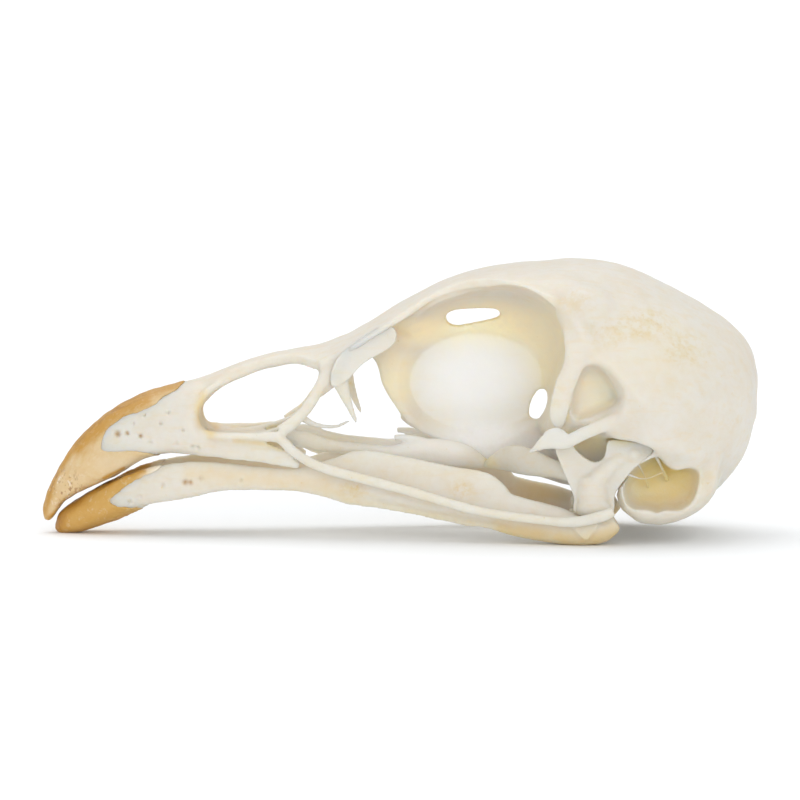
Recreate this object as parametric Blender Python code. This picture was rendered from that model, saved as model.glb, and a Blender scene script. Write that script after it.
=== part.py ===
# Chukar skull with its jaw closed, life size, resting on the lower bill's tip and the two
# rear ends of the jaw. The bill points along -X and the sagittal plane is Y = 0.
# Bones are shaped in millimetres and scaled to metres when each one is finished.
# Lists of stations give one side; the pieces of the other side are mirrored.

import math

import bmesh
import bpy
from mathutils import Matrix, Vector

MM = 0.001                 # one millimetre in metres
GAP = 0.3                  # space between bones that meet

# Driving sizes of the skull, in millimetres.
BILL_TIP_X = -28.62        # front end of the upper bill
NAPE_X = 28.6              # rear end of the braincase
CROWN_Z = 22.1             # highest point of the crown above the table
CRANIUM_HALF = 10.9        # half width of the braincase
SEPTUM_HALF = 0.35         # half the thickness of the thin plate between the eyes
SEPTUM_ROOT_HALF = 0.9     # half its thickness where it meets the roof and the rostrum
HINGE_X = -4.4             # bending zone between bill and forehead
VAULT_X = 11.2             # plane that parts the braincase from the roof and the septum
BRAIN_FLOOR_Z = 4.4        # floor of the brain cavity
FORAMEN_MAGNUM = (6.8, 2.8, 2.45)  # height of its centre, half width and half height
VOXEL = 0.24               # size of the blending grid
FINE_VOXEL = 0.17          # the same for the small bones
PLATE_REACH = 14           # a y beyond every bone, to which cuts run out
ROOF_DEPTH = 1.75          # how far the cut under the roof lies below its midline
CHEEK_Y = 8.9              # half width of the lower cut behind the eye sockets

BONE = (0.88, 0.84, 0.74)
HORN = (0.72, 0.47, 0.20)
BONE_ROUGHNESS = 0.5
HORN_ROUGHNESS = 0.35

# Sections along X: x and z of the top, x and z of the bottom, half width, and how far up
# the widest line lies.
BRAINCASE = (
    (9.6, 21.2, 9.6, 12.5, 5.0, 0.5),
    (11.6, 21.9, 11.8, 7.4, 8.4, 0.5),
    (14.6, CROWN_Z, 14.6, 4.6, 10.3, 0.5),
    (18.0, 21.5, 18.0, 3.5, CRANIUM_HALF, 0.46),
    (21.2, 20.05, 20.8, 2.9, 10.8, 0.45),
    (24.3, 18.4, 23.4, 2.5, 9.7, 0.46),
    (26.6, 16.75, 25.8, 4.1, 8.0, 0.5),
    (28.0, 15.0, 27.6, 6.6, 5.6, 0.5),
    (NAPE_X, 12.9, 28.4, 9.8, 2.4, 0.5),
)
BRAIN = (
    (14.2, 15.4, 14.2, 10.6, 2.0, 0.5),
    (15.6, 18.3, 15.6, 6.6, 6.4, 0.5),
    (18.0, 19.8, 18.0, BRAIN_FLOOR_Z, 8.7, 0.5),
    (21.4, 18.5, 21.4, BRAIN_FLOOR_Z, 9.0, 0.5),
    (24.2, 16.8, 24.4, BRAIN_FLOOR_Z, 7.6, 0.5),
    (26.4, 14.6, 26.2, 8.2, 4.6, 0.5),
    (27.2, 12.6, 27.2, 10.0, 1.8, 0.5),
)
BEAK = (
    (BILL_TIP_X, 1.7, -28.45, 0.9, 0.3, 0.5),
    (-28.5, 2.55, -27.9, 1.25, 0.8, 0.4),
    (-27.65, 4.65, -26.9, 2.55, 1.35, 0.35),
    (-25.9, 7.4, -25.1, 3.6, 2.05, 0.3),
    (-23.4, 9.68, -22.7, 4.7, 2.75, 0.28),
    (-20.6, 11.22, -20.4, 6.1, 3.3, 0.26),
    (-18.0, 12.0, -18.0, 6.5, 3.7, 0.25),
    (-15.4, 12.6, -15.8, 6.35, 4.0, 0.25),
    (-13.4, 13.4, -13.4, 6.2, 4.1, 0.25),
)
FOREHEAD = (
    (-0.6, 17.6, -0.6, 15.8, 2.0, 0.7),
    (3.0, 19.6, 3.0, 14.5, 4.2, 0.8),
    (7.0, 21.0, 7.0, 13.5, 4.9, 0.8),
    (10.5, 21.6, 10.5, 12.0, 7.0, 0.8),
    (12.8, 21.8, 12.8, 11.5, 7.8, 0.78),
    (15.4, 21.4, 15.4, 12.0, 7.4, 0.75),
    (18.0, 20.5, 18.0, 12.5, 6.2, 0.72),
)
CHIN = (
    (-27.62, 0.75, -27.6, 0.2, 0.35, 0.5),
    (-27.1, 1.75, -27.1, -0.12, 1.0, 0.5),
    (-25.4, 2.95, -25.6, 0.12, 1.75, 0.5),
    (-23.2, 4.15, -23.0, 0.95, 2.35, 0.5),
    (-21.2, 4.85, -20.8, 1.7, 2.9, 0.5),
    (-20.0, 5.1, -19.6, 2.35, 3.05, 0.5),
)

# Arched sheets along X: x, height of the midline, half width, drop to the edge, thickness.
ROOF = (
    (-6.8, 14.85, 2.4, 0.5, 0.8),
    (-4.8, 15.7, 4.7, 0.9, 1.2),
    (-2.4, 17.05, 5.3, 0.8, 1.3),
    (0.4, 18.75, 5.2, 0.7, 1.4),
    (3.4, 20.3, 4.6, 0.4, 1.5),
    (6.4, 21.25, 5.2, 0.5, 1.6),
    (9.4, 21.75, 7.2, 1.1, 1.7),
    (11.6, 21.9, 8.3, 2.0, 1.9),
    (13.4, 21.85, 7.7, 2.6, 2.4),
    (15.6, 21.2, 6.0, 2.4, 2.4),
)
NASAL = (
    (-17.2, 12.1, 2.5, 2.2, 3.0),
    (-14.6, 13.0, 1.9, 0.6, 1.5),
    (-11.4, 14.2, 1.75, 0.3, 1.2),
    (-8.4, 14.85, 2.2, 0.4, 1.15),
    (-6.4, 15.2, 3.9, 1.0, 1.2),
    (-3.8, 16.2, 4.8, 1.0, 1.3),
)

# Bars: x, y, z, half thickness and half height.
NASAL_BAR = (
    (-5.2, 4.2, 13.6, 0.4, 0.9), (-6.1, 4.5, 12.3, 0.34, 0.5), (-7.0, 4.65, 10.8, 0.32, 0.45),
    (-8.0, 4.8, 9.6, 0.32, 0.45), (-9.3, 4.9, 8.6, 0.4, 0.55),
)
MAXILLA_ROD = (
    (-17.4, 2.8, 8.3, 0.5, 0.6), (-14.8, 3.75, 8.2, 0.45, 0.36), (-12.0, 4.5, 8.2, 0.42, 0.34),
    (-9.4, 4.98, 8.1, 0.42, 0.46),
)
TOMIAL_PLATE = (
    (-17.6, 2.6, 7.4, 0.5, 0.8), (-15.4, 3.45, 7.3, 0.45, 0.9), (-13.0, 4.1, 7.15, 0.4, 0.95),
    (-11.2, 4.45, 6.95, 0.36, 0.88), (-9.6, 4.7, 6.6, 0.32, 0.72), (-8.6, 4.85, 6.2, 0.28, 0.52),
    (-7.8, 4.95, 5.85, 0.2, 0.28),
)
PALATE_SHELF = (
    (-17.4, 1.7, 7.4, 1.7, 0.7), (-14.0, 2.0, 7.5, 1.5, 0.5), (-10.6, 2.6, 7.55, 0.8, 0.5),
    (-8.6, 2.85, 7.6, 0.4, 0.45), (-7.6, 2.9, 7.6, 0.2, 0.3),
)
JUGAL = (
    (-9.7, 5.0, 8.35, 0.4, 0.45), (-9.0, 5.15, 7.75, 0.34, 0.42), (-8.2, 5.35, 7.0, 0.3, 0.42),
    (-6.8, 5.8, 6.2, 0.3, 0.42), (-4.6, 6.5, 5.5, 0.3, 0.42), (0.3, 7.6, 4.35, 0.3, 0.4),
    (6.0, 8.8, 2.85, 0.3, 0.38), (10.6, 9.6, 2.2, 0.3, 0.38), (13.9, 10.05, 2.0, 0.3, 0.42),
    (16.2, 10.2, 2.45, 0.34, 0.46), (17.2, 10.1, 2.85, 0.3, 0.4),
)
PALATINE = (
    (-9.6, 3.0, 7.9, 0.3, 0.5), (-8.4, 2.9, 7.85, 0.32, 0.7), (-7.1, 2.9, 7.72, 0.34, 0.68),
    (-6.3, 2.9, 7.45, 0.34, 0.6), (-4.7, 2.95, 7.2, 0.38, 0.5), (-3.1, 3.05, 7.0, 0.42, 0.52),
    (-1.5, 3.15, 6.8, 0.48, 0.57), (-0.3, 3.2, 6.75, 0.52, 0.64), (1.7, 3.2, 6.95, 0.58, 0.95),
    (3.5, 3.1, 6.85, 0.62, 1.05), (4.9, 2.9, 6.6, 0.58, 1.0), (6.0, 2.5, 6.2, 0.5, 0.75),
    (7.0, 2.2, 5.85, 0.4, 0.35), (7.6, 2.1, 5.75, 0.3, 0.22),
)
PALATINE_SPUR = (
    (3.2, 3.0, 7.3, 0.3, 0.3), (1.7, 3.1, 7.8, 0.28, 0.28), (0.6, 3.15, 7.98, 0.26, 0.28),
    (-0.35, 3.2, 8.02, 0.2, 0.22),
)
PTERYGOID = (
    (13.8, 7.0, 5.4, 0.4, 0.6), (13.0, 6.6, 5.68, 0.4, 0.66), (11.8, 5.9, 5.94, 0.42, 0.85),
    (10.6, 5.1, 6.19, 0.42, 1.05), (9.35, 4.2, 6.4, 0.42, 1.15), (8.4, 3.4, 6.28, 0.42, 0.92),
    (7.5, 2.8, 5.99, 0.38, 0.55), (6.8, 2.4, 5.72, 0.25, 0.22),
)
RAMUS = (
    (-25.4, 1.0, 1.9, 0.3, 0.5), (-23.0, 1.8, 3.0, 0.5, 1.0), (-20.6, 2.5, 3.8, 0.55, 1.4),
    (-17.2, 3.1, 4.5, 0.55, 1.5), (-14.0, 3.5, 4.85, 0.5, 1.15), (-11.0, 3.9, 4.75, 0.5, 0.95),
    (-8.0, 4.3, 4.7, 0.5, 0.95), (-5.6, 4.75, 4.8, 0.48, 1.55), (-4.0, 5.0, 4.85, 0.48, 2.1),
    (-2.4, 5.3, 4.93, 0.48, 2.3), (1.0, 5.95, 4.42, 0.48, 2.25), (4.0, 6.5, 3.85, 0.48, 2.25),
    (6.4, 6.95, 3.45, 0.5, 2.3), (7.4, 7.15, 3.05, 0.52, 2.05), (8.4, 7.3, 2.5, 0.56, 1.65),
    (10.0, 7.6, 2.05, 0.7, 1.6), (12.3, 8.0, 1.6, 1.0, 1.5), (14.4, 8.2, 1.15, 1.3, 1.25),
    (16.2, 8.3, 1.25, 1.2, 1.1), (17.4, 8.4, 1.8, 0.7, 0.6),
)
PENDANT = ((15.0, 8.9, 1.9, 0.5, 0.85), (15.0, 9.6, 1.3, 0.35, 0.5), (15.0, 9.9, 0.75, 0.16, 0.2))
INNER_PROCESS = ((14.6, 7.8, 1.6, 0.6, 0.7), (14.2, 6.4, 1.9, 0.5, 0.6), (13.8, 5.0, 2.4, 0.25, 0.3))
JAW_BARS = (RAMUS, PENDANT, INNER_PROCESS)
LACRIMAL_SPIKE = (
    (-4.7, 4.6, 13.0, 0.3, 0.75), (-4.4, 4.55, 12.0, 0.26, 0.55), (-3.9, 4.5, 10.7, 0.2, 0.32),
    (-3.3, 4.5, 9.3, 0.1, 0.12),
)
INNER_PROCESS = ((14.6, 7.8, 1.6, 0.6, 0.7), (14.2, 6.4, 1.9, 0.5, 0.6), (13.8, 5.0, 2.4, 0.25, 0.3))
JAW_BARS = (RAMUS, PENDANT, INNER_PROCESS)
LACRIMAL_SPIKE = (
    (-4.7, 4.6, 13.0, 0.3, 0.75), (-4.4, 4.55, 12.0, 0.26, 0.55), (-3.9, 4.5, 10.7, 0.2, 0.32),
    (-3.3, 4.5, 9.3, 0.1, 0.12),
)
POSTORBITAL = (
    (13.4, 7.6, 18.6, 0.6, 1.0), (14.2, 9.0, 17.2, 0.6, 1.2), (14.3, 9.8, 15.8, 0.5, 1.1),
    (14.0, 10.0, 14.3, 0.4, 0.85), (13.45, 9.9, 13.1, 0.36, 0.84), (13.05, 9.8, 11.9, 0.32, 0.8),
    (12.82, 9.65, 10.6, 0.28, 0.76), (12.8, 9.5, 9.9, 0.24, 0.62), (12.8, 9.4, 9.3, 0.16, 0.32),
)
ZYGOMATIC = (
    (20.8, 9.4, 11.6, 0.8, 1.5), (19.4, 9.9, 10.9, 0.6, 1.05), (17.9, 10.15, 10.3, 0.42, 0.78),
    (16.3, 10.3, 9.9, 0.32, 0.72), (14.8, 10.25, 9.15, 0.28, 0.75), (13.5, 10.1, 8.65, 0.26, 0.85),
    (12.6, 10.0, 8.6, 0.24, 1.02), (11.9, 9.85, 8.5, 0.22, 1.1), (11.3, 9.7, 8.15, 0.2, 0.78),
    (10.8, 9.55, 7.7, 0.17, 0.36), (10.4, 9.45, 7.35, 0.12, 0.12),
)
EAR_WALL = (
    (17.7, 8.4, 3.9, 0.9, 1.2), (18.6, 8.0, 4.1, 1.5, 2.3), (19.8, 7.4, 4.3, 2.0, 2.85),
    (21.4, 6.9, 4.6, 2.2, 3.0), (23.0, 6.2, 5.2, 2.0, 2.7), (24.2, 5.6, 6.2, 1.3, 1.9),
    (25.0, 5.2, 7.4, 0.7, 1.1),
)
EAR_BACK = (
    (24.0, 8.0, 10.0, 1.0, 1.6), (24.4, 7.4, 7.2, 0.9, 1.2), (24.4, 6.9, 4.8, 0.75, 0.9),
    (23.6, 6.9, 3.1, 0.5, 0.55),
)
ROSTRUM = (
    (0.1, 0, 9.5, 0.3, 0.3), (1.2, 0, 8.85, 0.45, 0.45), (3.6, 0, 7.95, 0.5, 0.5),
    (7.4, 0, 6.2, 0.65, 0.55), (10.5, 0, 5.5, 1.0, 0.7),
    (13.6, 0, 5.0, 1.7, 1.1), (16.6, 0, 5.0, 2.4, 1.6),
)
LACRIMAL_SPIKE = (
    (-4.7, 4.6, 13.0, 0.3, 0.75), (-4.4, 4.55, 12.0, 0.26, 0.55), (-3.9, 4.5, 10.7, 0.2, 0.32),
    (-3.3, 4.5, 9.3, 0.1, 0.12),
)

# Quadrate: bars, and balls given by centre and radii.
OTIC_PROCESS = (
    (15.4, 8.5, 4.6, 0.8, 1.0), (16.6, 8.4, 6.0, 0.65, 0.8), (17.9, 8.2, 7.0, 0.6, 0.8),
    (18.7, 8.1, 7.3, 0.6, 0.6),
)
ORBITAL_PROCESS = (
    (15.2, 8.4, 4.4, 0.7, 1.0), (14.2, 7.9, 5.7, 0.45, 0.7), (13.5, 7.3, 7.0, 0.4, 0.5),
    (13.1, 6.8, 8.1, 0.3, 0.3),
)
QUADRATE_BODY = (
    (15.4, 8.4, 5.0, 0.8, 1.2), (15.4, 8.35, 4.2, 0.8, 1.2), (15.4, 8.3, 3.4, 0.8, 1.2),
)
OTIC_HEAD = ((18.8, 8.0, 7.3), (0.9, 0.9, 0.8))
OUTER_CONDYLE = ((15.6, 8.9, 3.1), (1.3, 0.9, 0.85))
INNER_CONDYLE = ((15.2, 7.4, 3.0), (1.0, 0.8, 0.8))

# Eye socket: x and z of its centre, distance of the rim every 30 degrees from the rear
# round by the top, the septum's thin oval, and steps from the septum (0) out to the rim (1).
ORBIT_CENTRE = (6.6, 13.4)
ORBIT_RIM = (6.3, 7.9, 7.9, 7.2, 7.1, 8.0, 8.8, 8.8, 8.4, 8.6, 7.6, 6.4)
ORBIT_REACH = 9.0
SEPTUM_OVAL = (6.2, 12.2, 5.6, 4.1)
ORBIT_STEPS = (0.0, 0.03, 0.1, 0.22, 0.4, 0.65, 1.0)

# Hollows and bosses: balls by centre and radii, the tilt of a temple's hollow, and funnels
# by their size at each y.
TEMPLE_HOLLOWS = (
    (((15.8, 12.6, 12.2), (2.6, 3.4, 3.2)), -12),
    (((14.8, 11.0, 5.9), (4.6, 5.4, 3.6)), 20),
)
TEMPLE_STEPS = ((8.3, 0.3), (8.5, 0.72), (9.0, 0.9), (9.8, 1.0), (13.0, 1.08))
NARIS_STEPS = ((-0.01, 1.02), (1.5, 1.02), (3.0, 1.07), (3.9, 1.12), (4.8, 1.18), (6.0, 1.2))
EAR_STEPS = ((5.9, 0.2), (6.2, 0.6), (6.8, 0.85), (8.4, 1.0), (12.0, 1.15))
TEMPLE_BOSS = ((14.8, 6.3, 16.9), (3.7, 3.1, 3.6))
EAR_BOSS = ((22.3, 6.4, 7.2), (2.6, 2.9, 4.2))
PALATE_HOLLOW = ((-12.2, 0, 7.1), (4.2, 2.6, 2.3))
JAW_HOLLOW = ((-18.4, 0, 3.2), (4.6, 2.1, 4.4))
CONDYLE = ((23.9, 0, 3.3), (1.0, 1.0, 0.8))
NASAL_FACES = (3.7, 4.4)         # inner and outer face of the nasal bar's head
LACRIMAL_SIDES = (4.3, 5.0)      # inner and outer face of the plate before the eye
QUADRATE_SIDES = (7.9, 8.7)      # the same for the quadrate's plate

# Outlines in x and z.
SEPTUM = (
    (-3.4, 15.6), (-1.9, 13.8), (-1.4, 12.0), (-0.3, 10.2), (0.8, 8.8), (2.4, 7.9), (4.8, 7.1),
    (7.4, 5.7), (10.0, 5.0), (14.0, 4.4), (16.0, 8.0), (16.0, 18.0), (12.0, 20.8), (6.0, 20.4),
    (2.0, 18.9), (-1.0, 17.2),
)
LACRIMAL = (
    (-0.35, 16.9), (-0.1, 16.2), (-0.5, 15.4), (-2.0, 14.5), (-3.0, 13.8), (-3.8, 12.9),
    (-4.7, 12.3), (-5.3, 12.3), (-5.3, 13.4), (-4.6, 14.7), (-3.4, 15.8), (-2.0, 16.7),
    (-1.1, 17.1),
)
NARIS = (
    (-15.95, 10.0), (-15.85, 9.2), (-15.4, 8.5), (-14.4, 8.1), (-13.0, 8.1), (-11.2, 8.43),
    (-9.6, 8.85), (-8.4, 9.5), (-7.6, 10.25), (-6.9, 11.3), (-6.45, 12.3), (-6.3, 13.0),
    (-6.55, 13.65), (-7.2, 13.95), (-8.4, 13.85), (-10.0, 13.5), (-12.0, 12.77), (-13.6, 12.13),
    (-14.8, 11.5), (-15.6, 10.7),
)
NASAL_SIDE = (
    (-6.95, 14.0), (-6.3, 13.8), (-6.1, 13.0), (-6.6, 11.9), (-6.3, 11.3), (-5.6, 11.7),
    (-4.6, 12.6), (-4.0, 14.2), (-4.2, 14.9), (-5.2, 14.7), (-6.2, 14.4),
)
UPPER_WINDOW = (
    (3.6, 17.4), (4.3, 18.0), (6.0, 18.15), (7.8, 18.05), (7.9, 17.4), (5.8, 16.95), (4.3, 16.75),
)
OPTIC_WINDOW = (
    (10.4, 9.4), (10.5, 10.6), (11.1, 11.6), (11.75, 11.5), (11.75, 10.4), (11.2, 9.3),
)
TEMPLE = (
    (14.6, 14.0), (15.5, 14.4), (16.4, 13.95), (17.1, 12.9), (17.6, 11.85), (17.3, 11.3), (16.3, 10.7),
    (15.1, 10.15), (14.1, 9.85), (13.7, 10.4), (13.8, 11.6), (14.1, 12.9),
)
EAR_RIM = (
    (19.45, 6.6), (18.7, 6.15), (18.15, 5.3), (17.95, 4.4), (18.2, 3.4), (18.9, 2.95), (19.9, 2.85),
    (20.6, 2.6), (21.3, 2.85), (22.3, 2.7), (23.2, 3.1), (23.75, 4.0), (24.0, 5.2), (23.75, 6.0),
    (22.9, 6.15), (22.1, 5.95), (21.3, 6.35), (20.7, 7.1), (20.1, 7.0),
)
QUADRATE = (
    (12.7, 8.0), (12.69, 7.4), (12.93, 6.8), (13.25, 6.0), (13.73, 4.86), (14.13, 3.82),
    (14.29, 2.5), (16.93, 2.5), (17.17, 4.06), (17.81, 5.1), (18.69, 6.15), (19.65, 6.95),
    (20.2, 7.5), (20.0, 7.85), (19.1, 8.05), (17.9, 8.24), (16.85, 8.24), (16.65, 7.6),
    (16.5, 7.0), (16.1, 6.6), (15.5, 6.5), (14.8, 6.87), (14.15, 7.45), (13.7, 8.1), (13.2, 8.6),
)
UPPER_CORE = (  # bone of the upper bill that the horn leaves bare
    (-16.2, 13.6), (-17.2, 12.3), (-17.75, 11.7), (-18.7, 11.2), (-19.5, 10.5), (-20.55, 10.0),
    (-21.7, 9.65), (-22.7, 9.05), (-23.3, 8.55), (-23.7, 7.75), (-23.8, 6.95), (-23.3, 6.72),
    (-22.4, 6.75), (-21.1, 6.8), (-20.1, 6.65), (-19.2, 6.4), (-18.7, 5.9), (-18.2, 4.5),
    (-18.0, 3.0), (0.0, 3.0), (0.0, 19.0),
)
LOWER_CORE = (  # bone of the lower bill that the horn leaves bare
    (-18.2, 7.5), (-18.5, 6.2), (-19.3, 5.35), (-20.3, 4.87), (-21.5, 4.22), (-22.6, 3.35),
    (-23.1, 2.8), (-22.6, 2.35), (-21.6, 2.2), (-20.6, 2.2), (-19.8, 1.9), (-19.2, 1.2), (-18.5, -1.0),
    (24.0, -1.0), (24.0, 7.5),
)


# Splines and closed forms

def spline(points, count, closed=False):
    """Evenly spaced points, count of them, of a smooth curve through these points."""
    known = [Vector(p) for p in points]
    spans = len(known) if closed else len(known) - 1
    found = []
    for i in range(count):
        at = i / (count if closed else count - 1) * spans
        k = min(int(at), spans - 1)
        t = at - k
        b, c = known[k], known[(k + 1) % len(known)]
        a = known[k - 1] if k or closed else b * 2 - c
        d = known[(k + 2) % len(known)] if k + 2 < len(known) or closed else c * 2 - b
        bow = a * 2 - b * 5 + c * 4 - d
        twist = b * 3 - a - c * 3 + d
        found.append((b * 2 + (c - a) * t + bow * t ** 2 + twist * t ** 3) / 2)
    return found


def new_object(bm):
    bmesh.ops.recalc_face_normals(bm, faces=bm.faces)
    mesh = bpy.data.meshes.new("form")
    bm.to_mesh(mesh)
    bm.free()
    obj = bpy.data.objects.new("form", mesh)
    bpy.context.scene.collection.objects.link(obj)
    return obj


def loft(rings):
    """A closed form through rings of points, each with as many points, capped at both ends."""
    bm = bmesh.new()
    made = [[bm.verts.new(p) for p in ring] for ring in rings]
    sides = len(made[0])
    for low, high in zip(made, made[1:]):
        for i in range(sides):
            j = (i + 1) % sides
            bm.faces.new((low[i], low[j], high[j], high[i]))
    for ring in (made[0], made[-1]):
        middle = bm.verts.new(sum((v.co for v in ring), Vector()) / sides)
        for i in range(sides):
            bm.faces.new((ring[i], ring[(i + 1) % sides], middle))
    return new_object(bm)


def bent(value, power):
    return math.copysign(abs(value) ** (2 / power), value)


def body(stations, steps, above=2.1, below=2.1, sides=28):
    """A form along X with superellipse sections, rounder or squarer above and below."""
    rings = []
    for top_x, top_z, low_x, low_z, half, waist in spline(stations, steps):
        top = Vector((top_x, 0, top_z))
        low = Vector((low_x, 0, low_z))
        middle = low.lerp(top, waist)
        ring = []
        for i in range(sides):
            turn = 2 * math.pi * i / sides
            power, end = (above, top) if math.sin(turn) >= 0 else (below, low)
            point = middle.lerp(end, abs(bent(math.sin(turn), power)))
            ring.append(point + Vector((0, half * bent(math.cos(turn), power), 0)))
        rings.append(ring)
    return loft(rings)


def sheet(stations, steps, rim=0.36, lanes=12):
    """An arched sheet along X, whose edge has rim times its thickness."""
    rings = []
    for x, top, half, drop, thick in spline(stations, steps):
        across = [-1 + 2 * i / lanes for i in range(lanes + 1)]
        upper = [(x, half * u, top - drop * u * u) for u in across]
        lower = [
            (x, half * u * 0.98, top - drop * u * u - thick * (1 - (1 - rim) * u * u))
            for u in reversed(across)
        ]
        rings.append(upper + lower)
    return loft(rings)


def rod(stations, steps=16, side=1, grow=0.0, sides=12):
    """A bent bar, thicker all round by grow."""
    found = spline(stations, steps)
    rings = []
    for i, station in enumerate(found):
        along = Vector(found[min(i + 1, steps - 1)][:3]) - Vector(found[max(i - 1, 0)][:3])
        along.normalize()
        across = (Vector((0, 1, 0)) - along * along.y).normalized()
        up = along.cross(across)
        ring = []
        for k in range(sides):
            turn = 2 * math.pi * k / sides
            point = Vector(station[:3]) + across * (station[3] + grow) * math.cos(turn)
            point += up * (station[4] + grow) * math.sin(turn)
            ring.append((point.x, point.y * side, point.z))
        rings.append(ring)
    return loft(rings)


def ball(centre, radii, side=1, grow=0.0, tilt=0.0, rings=10):
    """An ellipsoid, turned by tilt degrees about Y and larger all round by grow."""
    bm = bmesh.new()
    bmesh.ops.create_uvsphere(bm, u_segments=rings * 2, v_segments=rings, radius=1)
    place = Matrix.Translation((centre[0], centre[1] * side, centre[2]))
    turn = Matrix.Rotation(math.radians(tilt), 4, "Y")
    size = Matrix.Diagonal((*(r + grow for r in radii), 1))
    bmesh.ops.transform(bm, matrix=place @ turn @ size, verts=bm.verts)
    return new_object(bm)


def block(low, high):
    """A box from its lowest corner to its highest."""
    bm = bmesh.new()
    bmesh.ops.create_cube(bm, size=1)
    for vert in bm.verts:
        vert.co = [low[i] if vert.co[i] < 0 else high[i] for i in range(3)]
    return new_object(bm)


def plate(outline, low, high, count=0, grow=0.0):
    """An outline in X and Z, smoothed through count points if given, from y low to y high."""
    edge = [Vector(p) for p in (spline(outline, count, closed=True) if count else outline)]
    size = len(edge)
    area = sum(edge[i - 1].cross(edge[i]) for i in range(size))
    bm = bmesh.new()
    ring = []
    for i, point in enumerate(edge):
        run = (edge[(i + 1) % size] - edge[i - 1]).normalized()
        out = Vector((run.y, -run.x)) * math.copysign(grow, area)
        ring.append(bm.verts.new((point.x + out.x, low, point.y + out.y)))
    pushed = bmesh.ops.extrude_face_region(bm, geom=[bm.faces.new(ring)])
    moved = [v for v in pushed["geom"] if isinstance(v, bmesh.types.BMVert)]
    bmesh.ops.translate(bm, vec=(0, high - low, 0), verts=moved)
    return new_object(bm)


# Joining, cutting and finishing

def apply_modifiers(obj):
    graph = bpy.context.evaluated_depsgraph_get()
    made = bpy.data.meshes.new_from_object(obj.evaluated_get(graph), depsgraph=graph)
    old = obj.data
    obj.modifiers.clear()
    obj.data = made
    bpy.data.meshes.remove(old)


def combine(obj, others, operation, solver="EXACT"):
    """One Boolean with a collection of closed forms, which are then removed."""
    group = bpy.data.collections.new("operands")
    for other in others:
        group.objects.link(other)
    step = obj.modifiers.new("combine", "BOOLEAN")
    step.operation = operation
    step.operand_type = "COLLECTION"
    step.collection = group
    step.solver = solver
    apply_modifiers(obj)
    for other in others:
        bpy.data.objects.remove(other)
    bpy.data.collections.remove(group)
    return obj


def unite(forms):
    return combine(forms[0], forms[1:], "UNION", "MANIFOLD")


def cut(obj, cutters):
    return combine(obj, cutters, "DIFFERENCE", "MANIFOLD")


def blend(obj, triangles, voxel=VOXEL, passes=5):
    """Softens the seams between forms and thins the surface to few triangles."""
    skin = obj.modifiers.new("skin", "REMESH")
    skin.mode = "VOXEL"
    skin.voxel_size = voxel
    soft = obj.modifiers.new("soft", "SMOOTH")
    soft.factor = 0.5
    soft.iterations = passes
    apply_modifiers(obj)
    thin = obj.modifiers.new("thin", "DECIMATE")
    thin.ratio = triangles / (2 * len(obj.data.polygons))
    apply_modifiers(obj)
    return obj


def copy_of(obj, flip=False):
    bm = bmesh.new()
    bm.from_mesh(obj.data)
    if flip:
        bmesh.ops.scale(bm, vec=(1, -1, 1), verts=bm.verts)
    return new_object(bm)


def closed_surfaces(obj):
    """The separate closed surfaces of a mesh as objects, largest volume first."""
    bm = bmesh.new()
    bm.from_mesh(obj.data)
    bm.verts.ensure_lookup_table()
    left = set(range(len(bm.verts)))
    groups = []
    while left:
        edge = [left.pop()]
        group = set(edge)
        while edge:
            for link in bm.verts[edge.pop()].link_edges:
                for vert in link.verts:
                    if vert.index in left:
                        left.remove(vert.index)
                        group.add(vert.index)
                        edge.append(vert.index)
        groups.append(group)
    bm.free()
    found = []
    for group in groups:
        part = bmesh.new()
        part.from_mesh(obj.data)
        others = [v for v in part.verts if v.index not in group]
        bmesh.ops.delete(part, geom=others, context="VERTS")
        size = part.calc_volume()
        found.append((size, new_object(part)))
    bpy.data.objects.remove(obj)
    found.sort(key=lambda pair: -pair[0])
    return [part for size, part in found]


def keep(obj, count=1):
    """The largest closed surfaces, count of them; smaller scraps are removed."""
    parts = closed_surfaces(obj)
    for scrap in parts[count:]:
        bpy.data.objects.remove(scrap)
    return parts[:count]


def material(name, colour, roughness):
    made = bpy.data.materials.new(name)
    made.use_nodes = True
    shader = made.node_tree.nodes["Principled BSDF"]
    shader.inputs["Base Color"].default_value = (*colour, 1)
    shader.inputs["Roughness"].default_value = roughness
    shader.inputs["Metallic"].default_value = 0
    return made


def finish(obj, name, surface):
    """Names the bone, scales it to metres and shades it."""
    obj.name = name
    obj.data.name = name
    obj.data.transform(Matrix.Scale(MM, 4))
    obj.data.materials.clear()
    obj.data.materials.append(surface)
    obj.data.shade_smooth()
    obj.data.set_sharp_from_angle(angle=math.radians(50))


def finish_pair(obj, name, surface):
    """A bone of the right side (+Y) and its mirror image on the left."""
    finish(copy_of(obj, flip=True), name + "_left", surface)
    finish(obj, name + "_right", surface)


# Cranium

def funnel(outline, side, steps, count=30):
    """A hole along Y whose outline grows about its middle: steps of y and size."""
    edge = spline(outline, count, closed=True)
    middle = sum(edge, Vector((0, 0))) / len(edge)
    rings = []
    for y, size in steps:
        grown = [middle + (point - middle) * size for point in edge]
        rings.append([(p.x, side * y, p.y) for p in grown])
    return loft(rings)


def lacrimal_room(side):
    """What the roof and the upper bill leave free for the bone before the eye."""
    inner = side * (LACRIMAL_SIDES[0] - GAP)
    outer = side * PLATE_REACH
    return [plate(LACRIMAL, inner, outer, count=24, grow=GAP), rod(LACRIMAL_SPIKE, 8, side, grow=GAP)]


def quadrate_room(side, outer):
    """What the braincase leaves free for the quadrate's plate, out to y outer."""
    return plate(QUADRATE, side * (QUADRATE_SIDES[0] - GAP), side * outer, count=48, grow=GAP)


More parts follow.
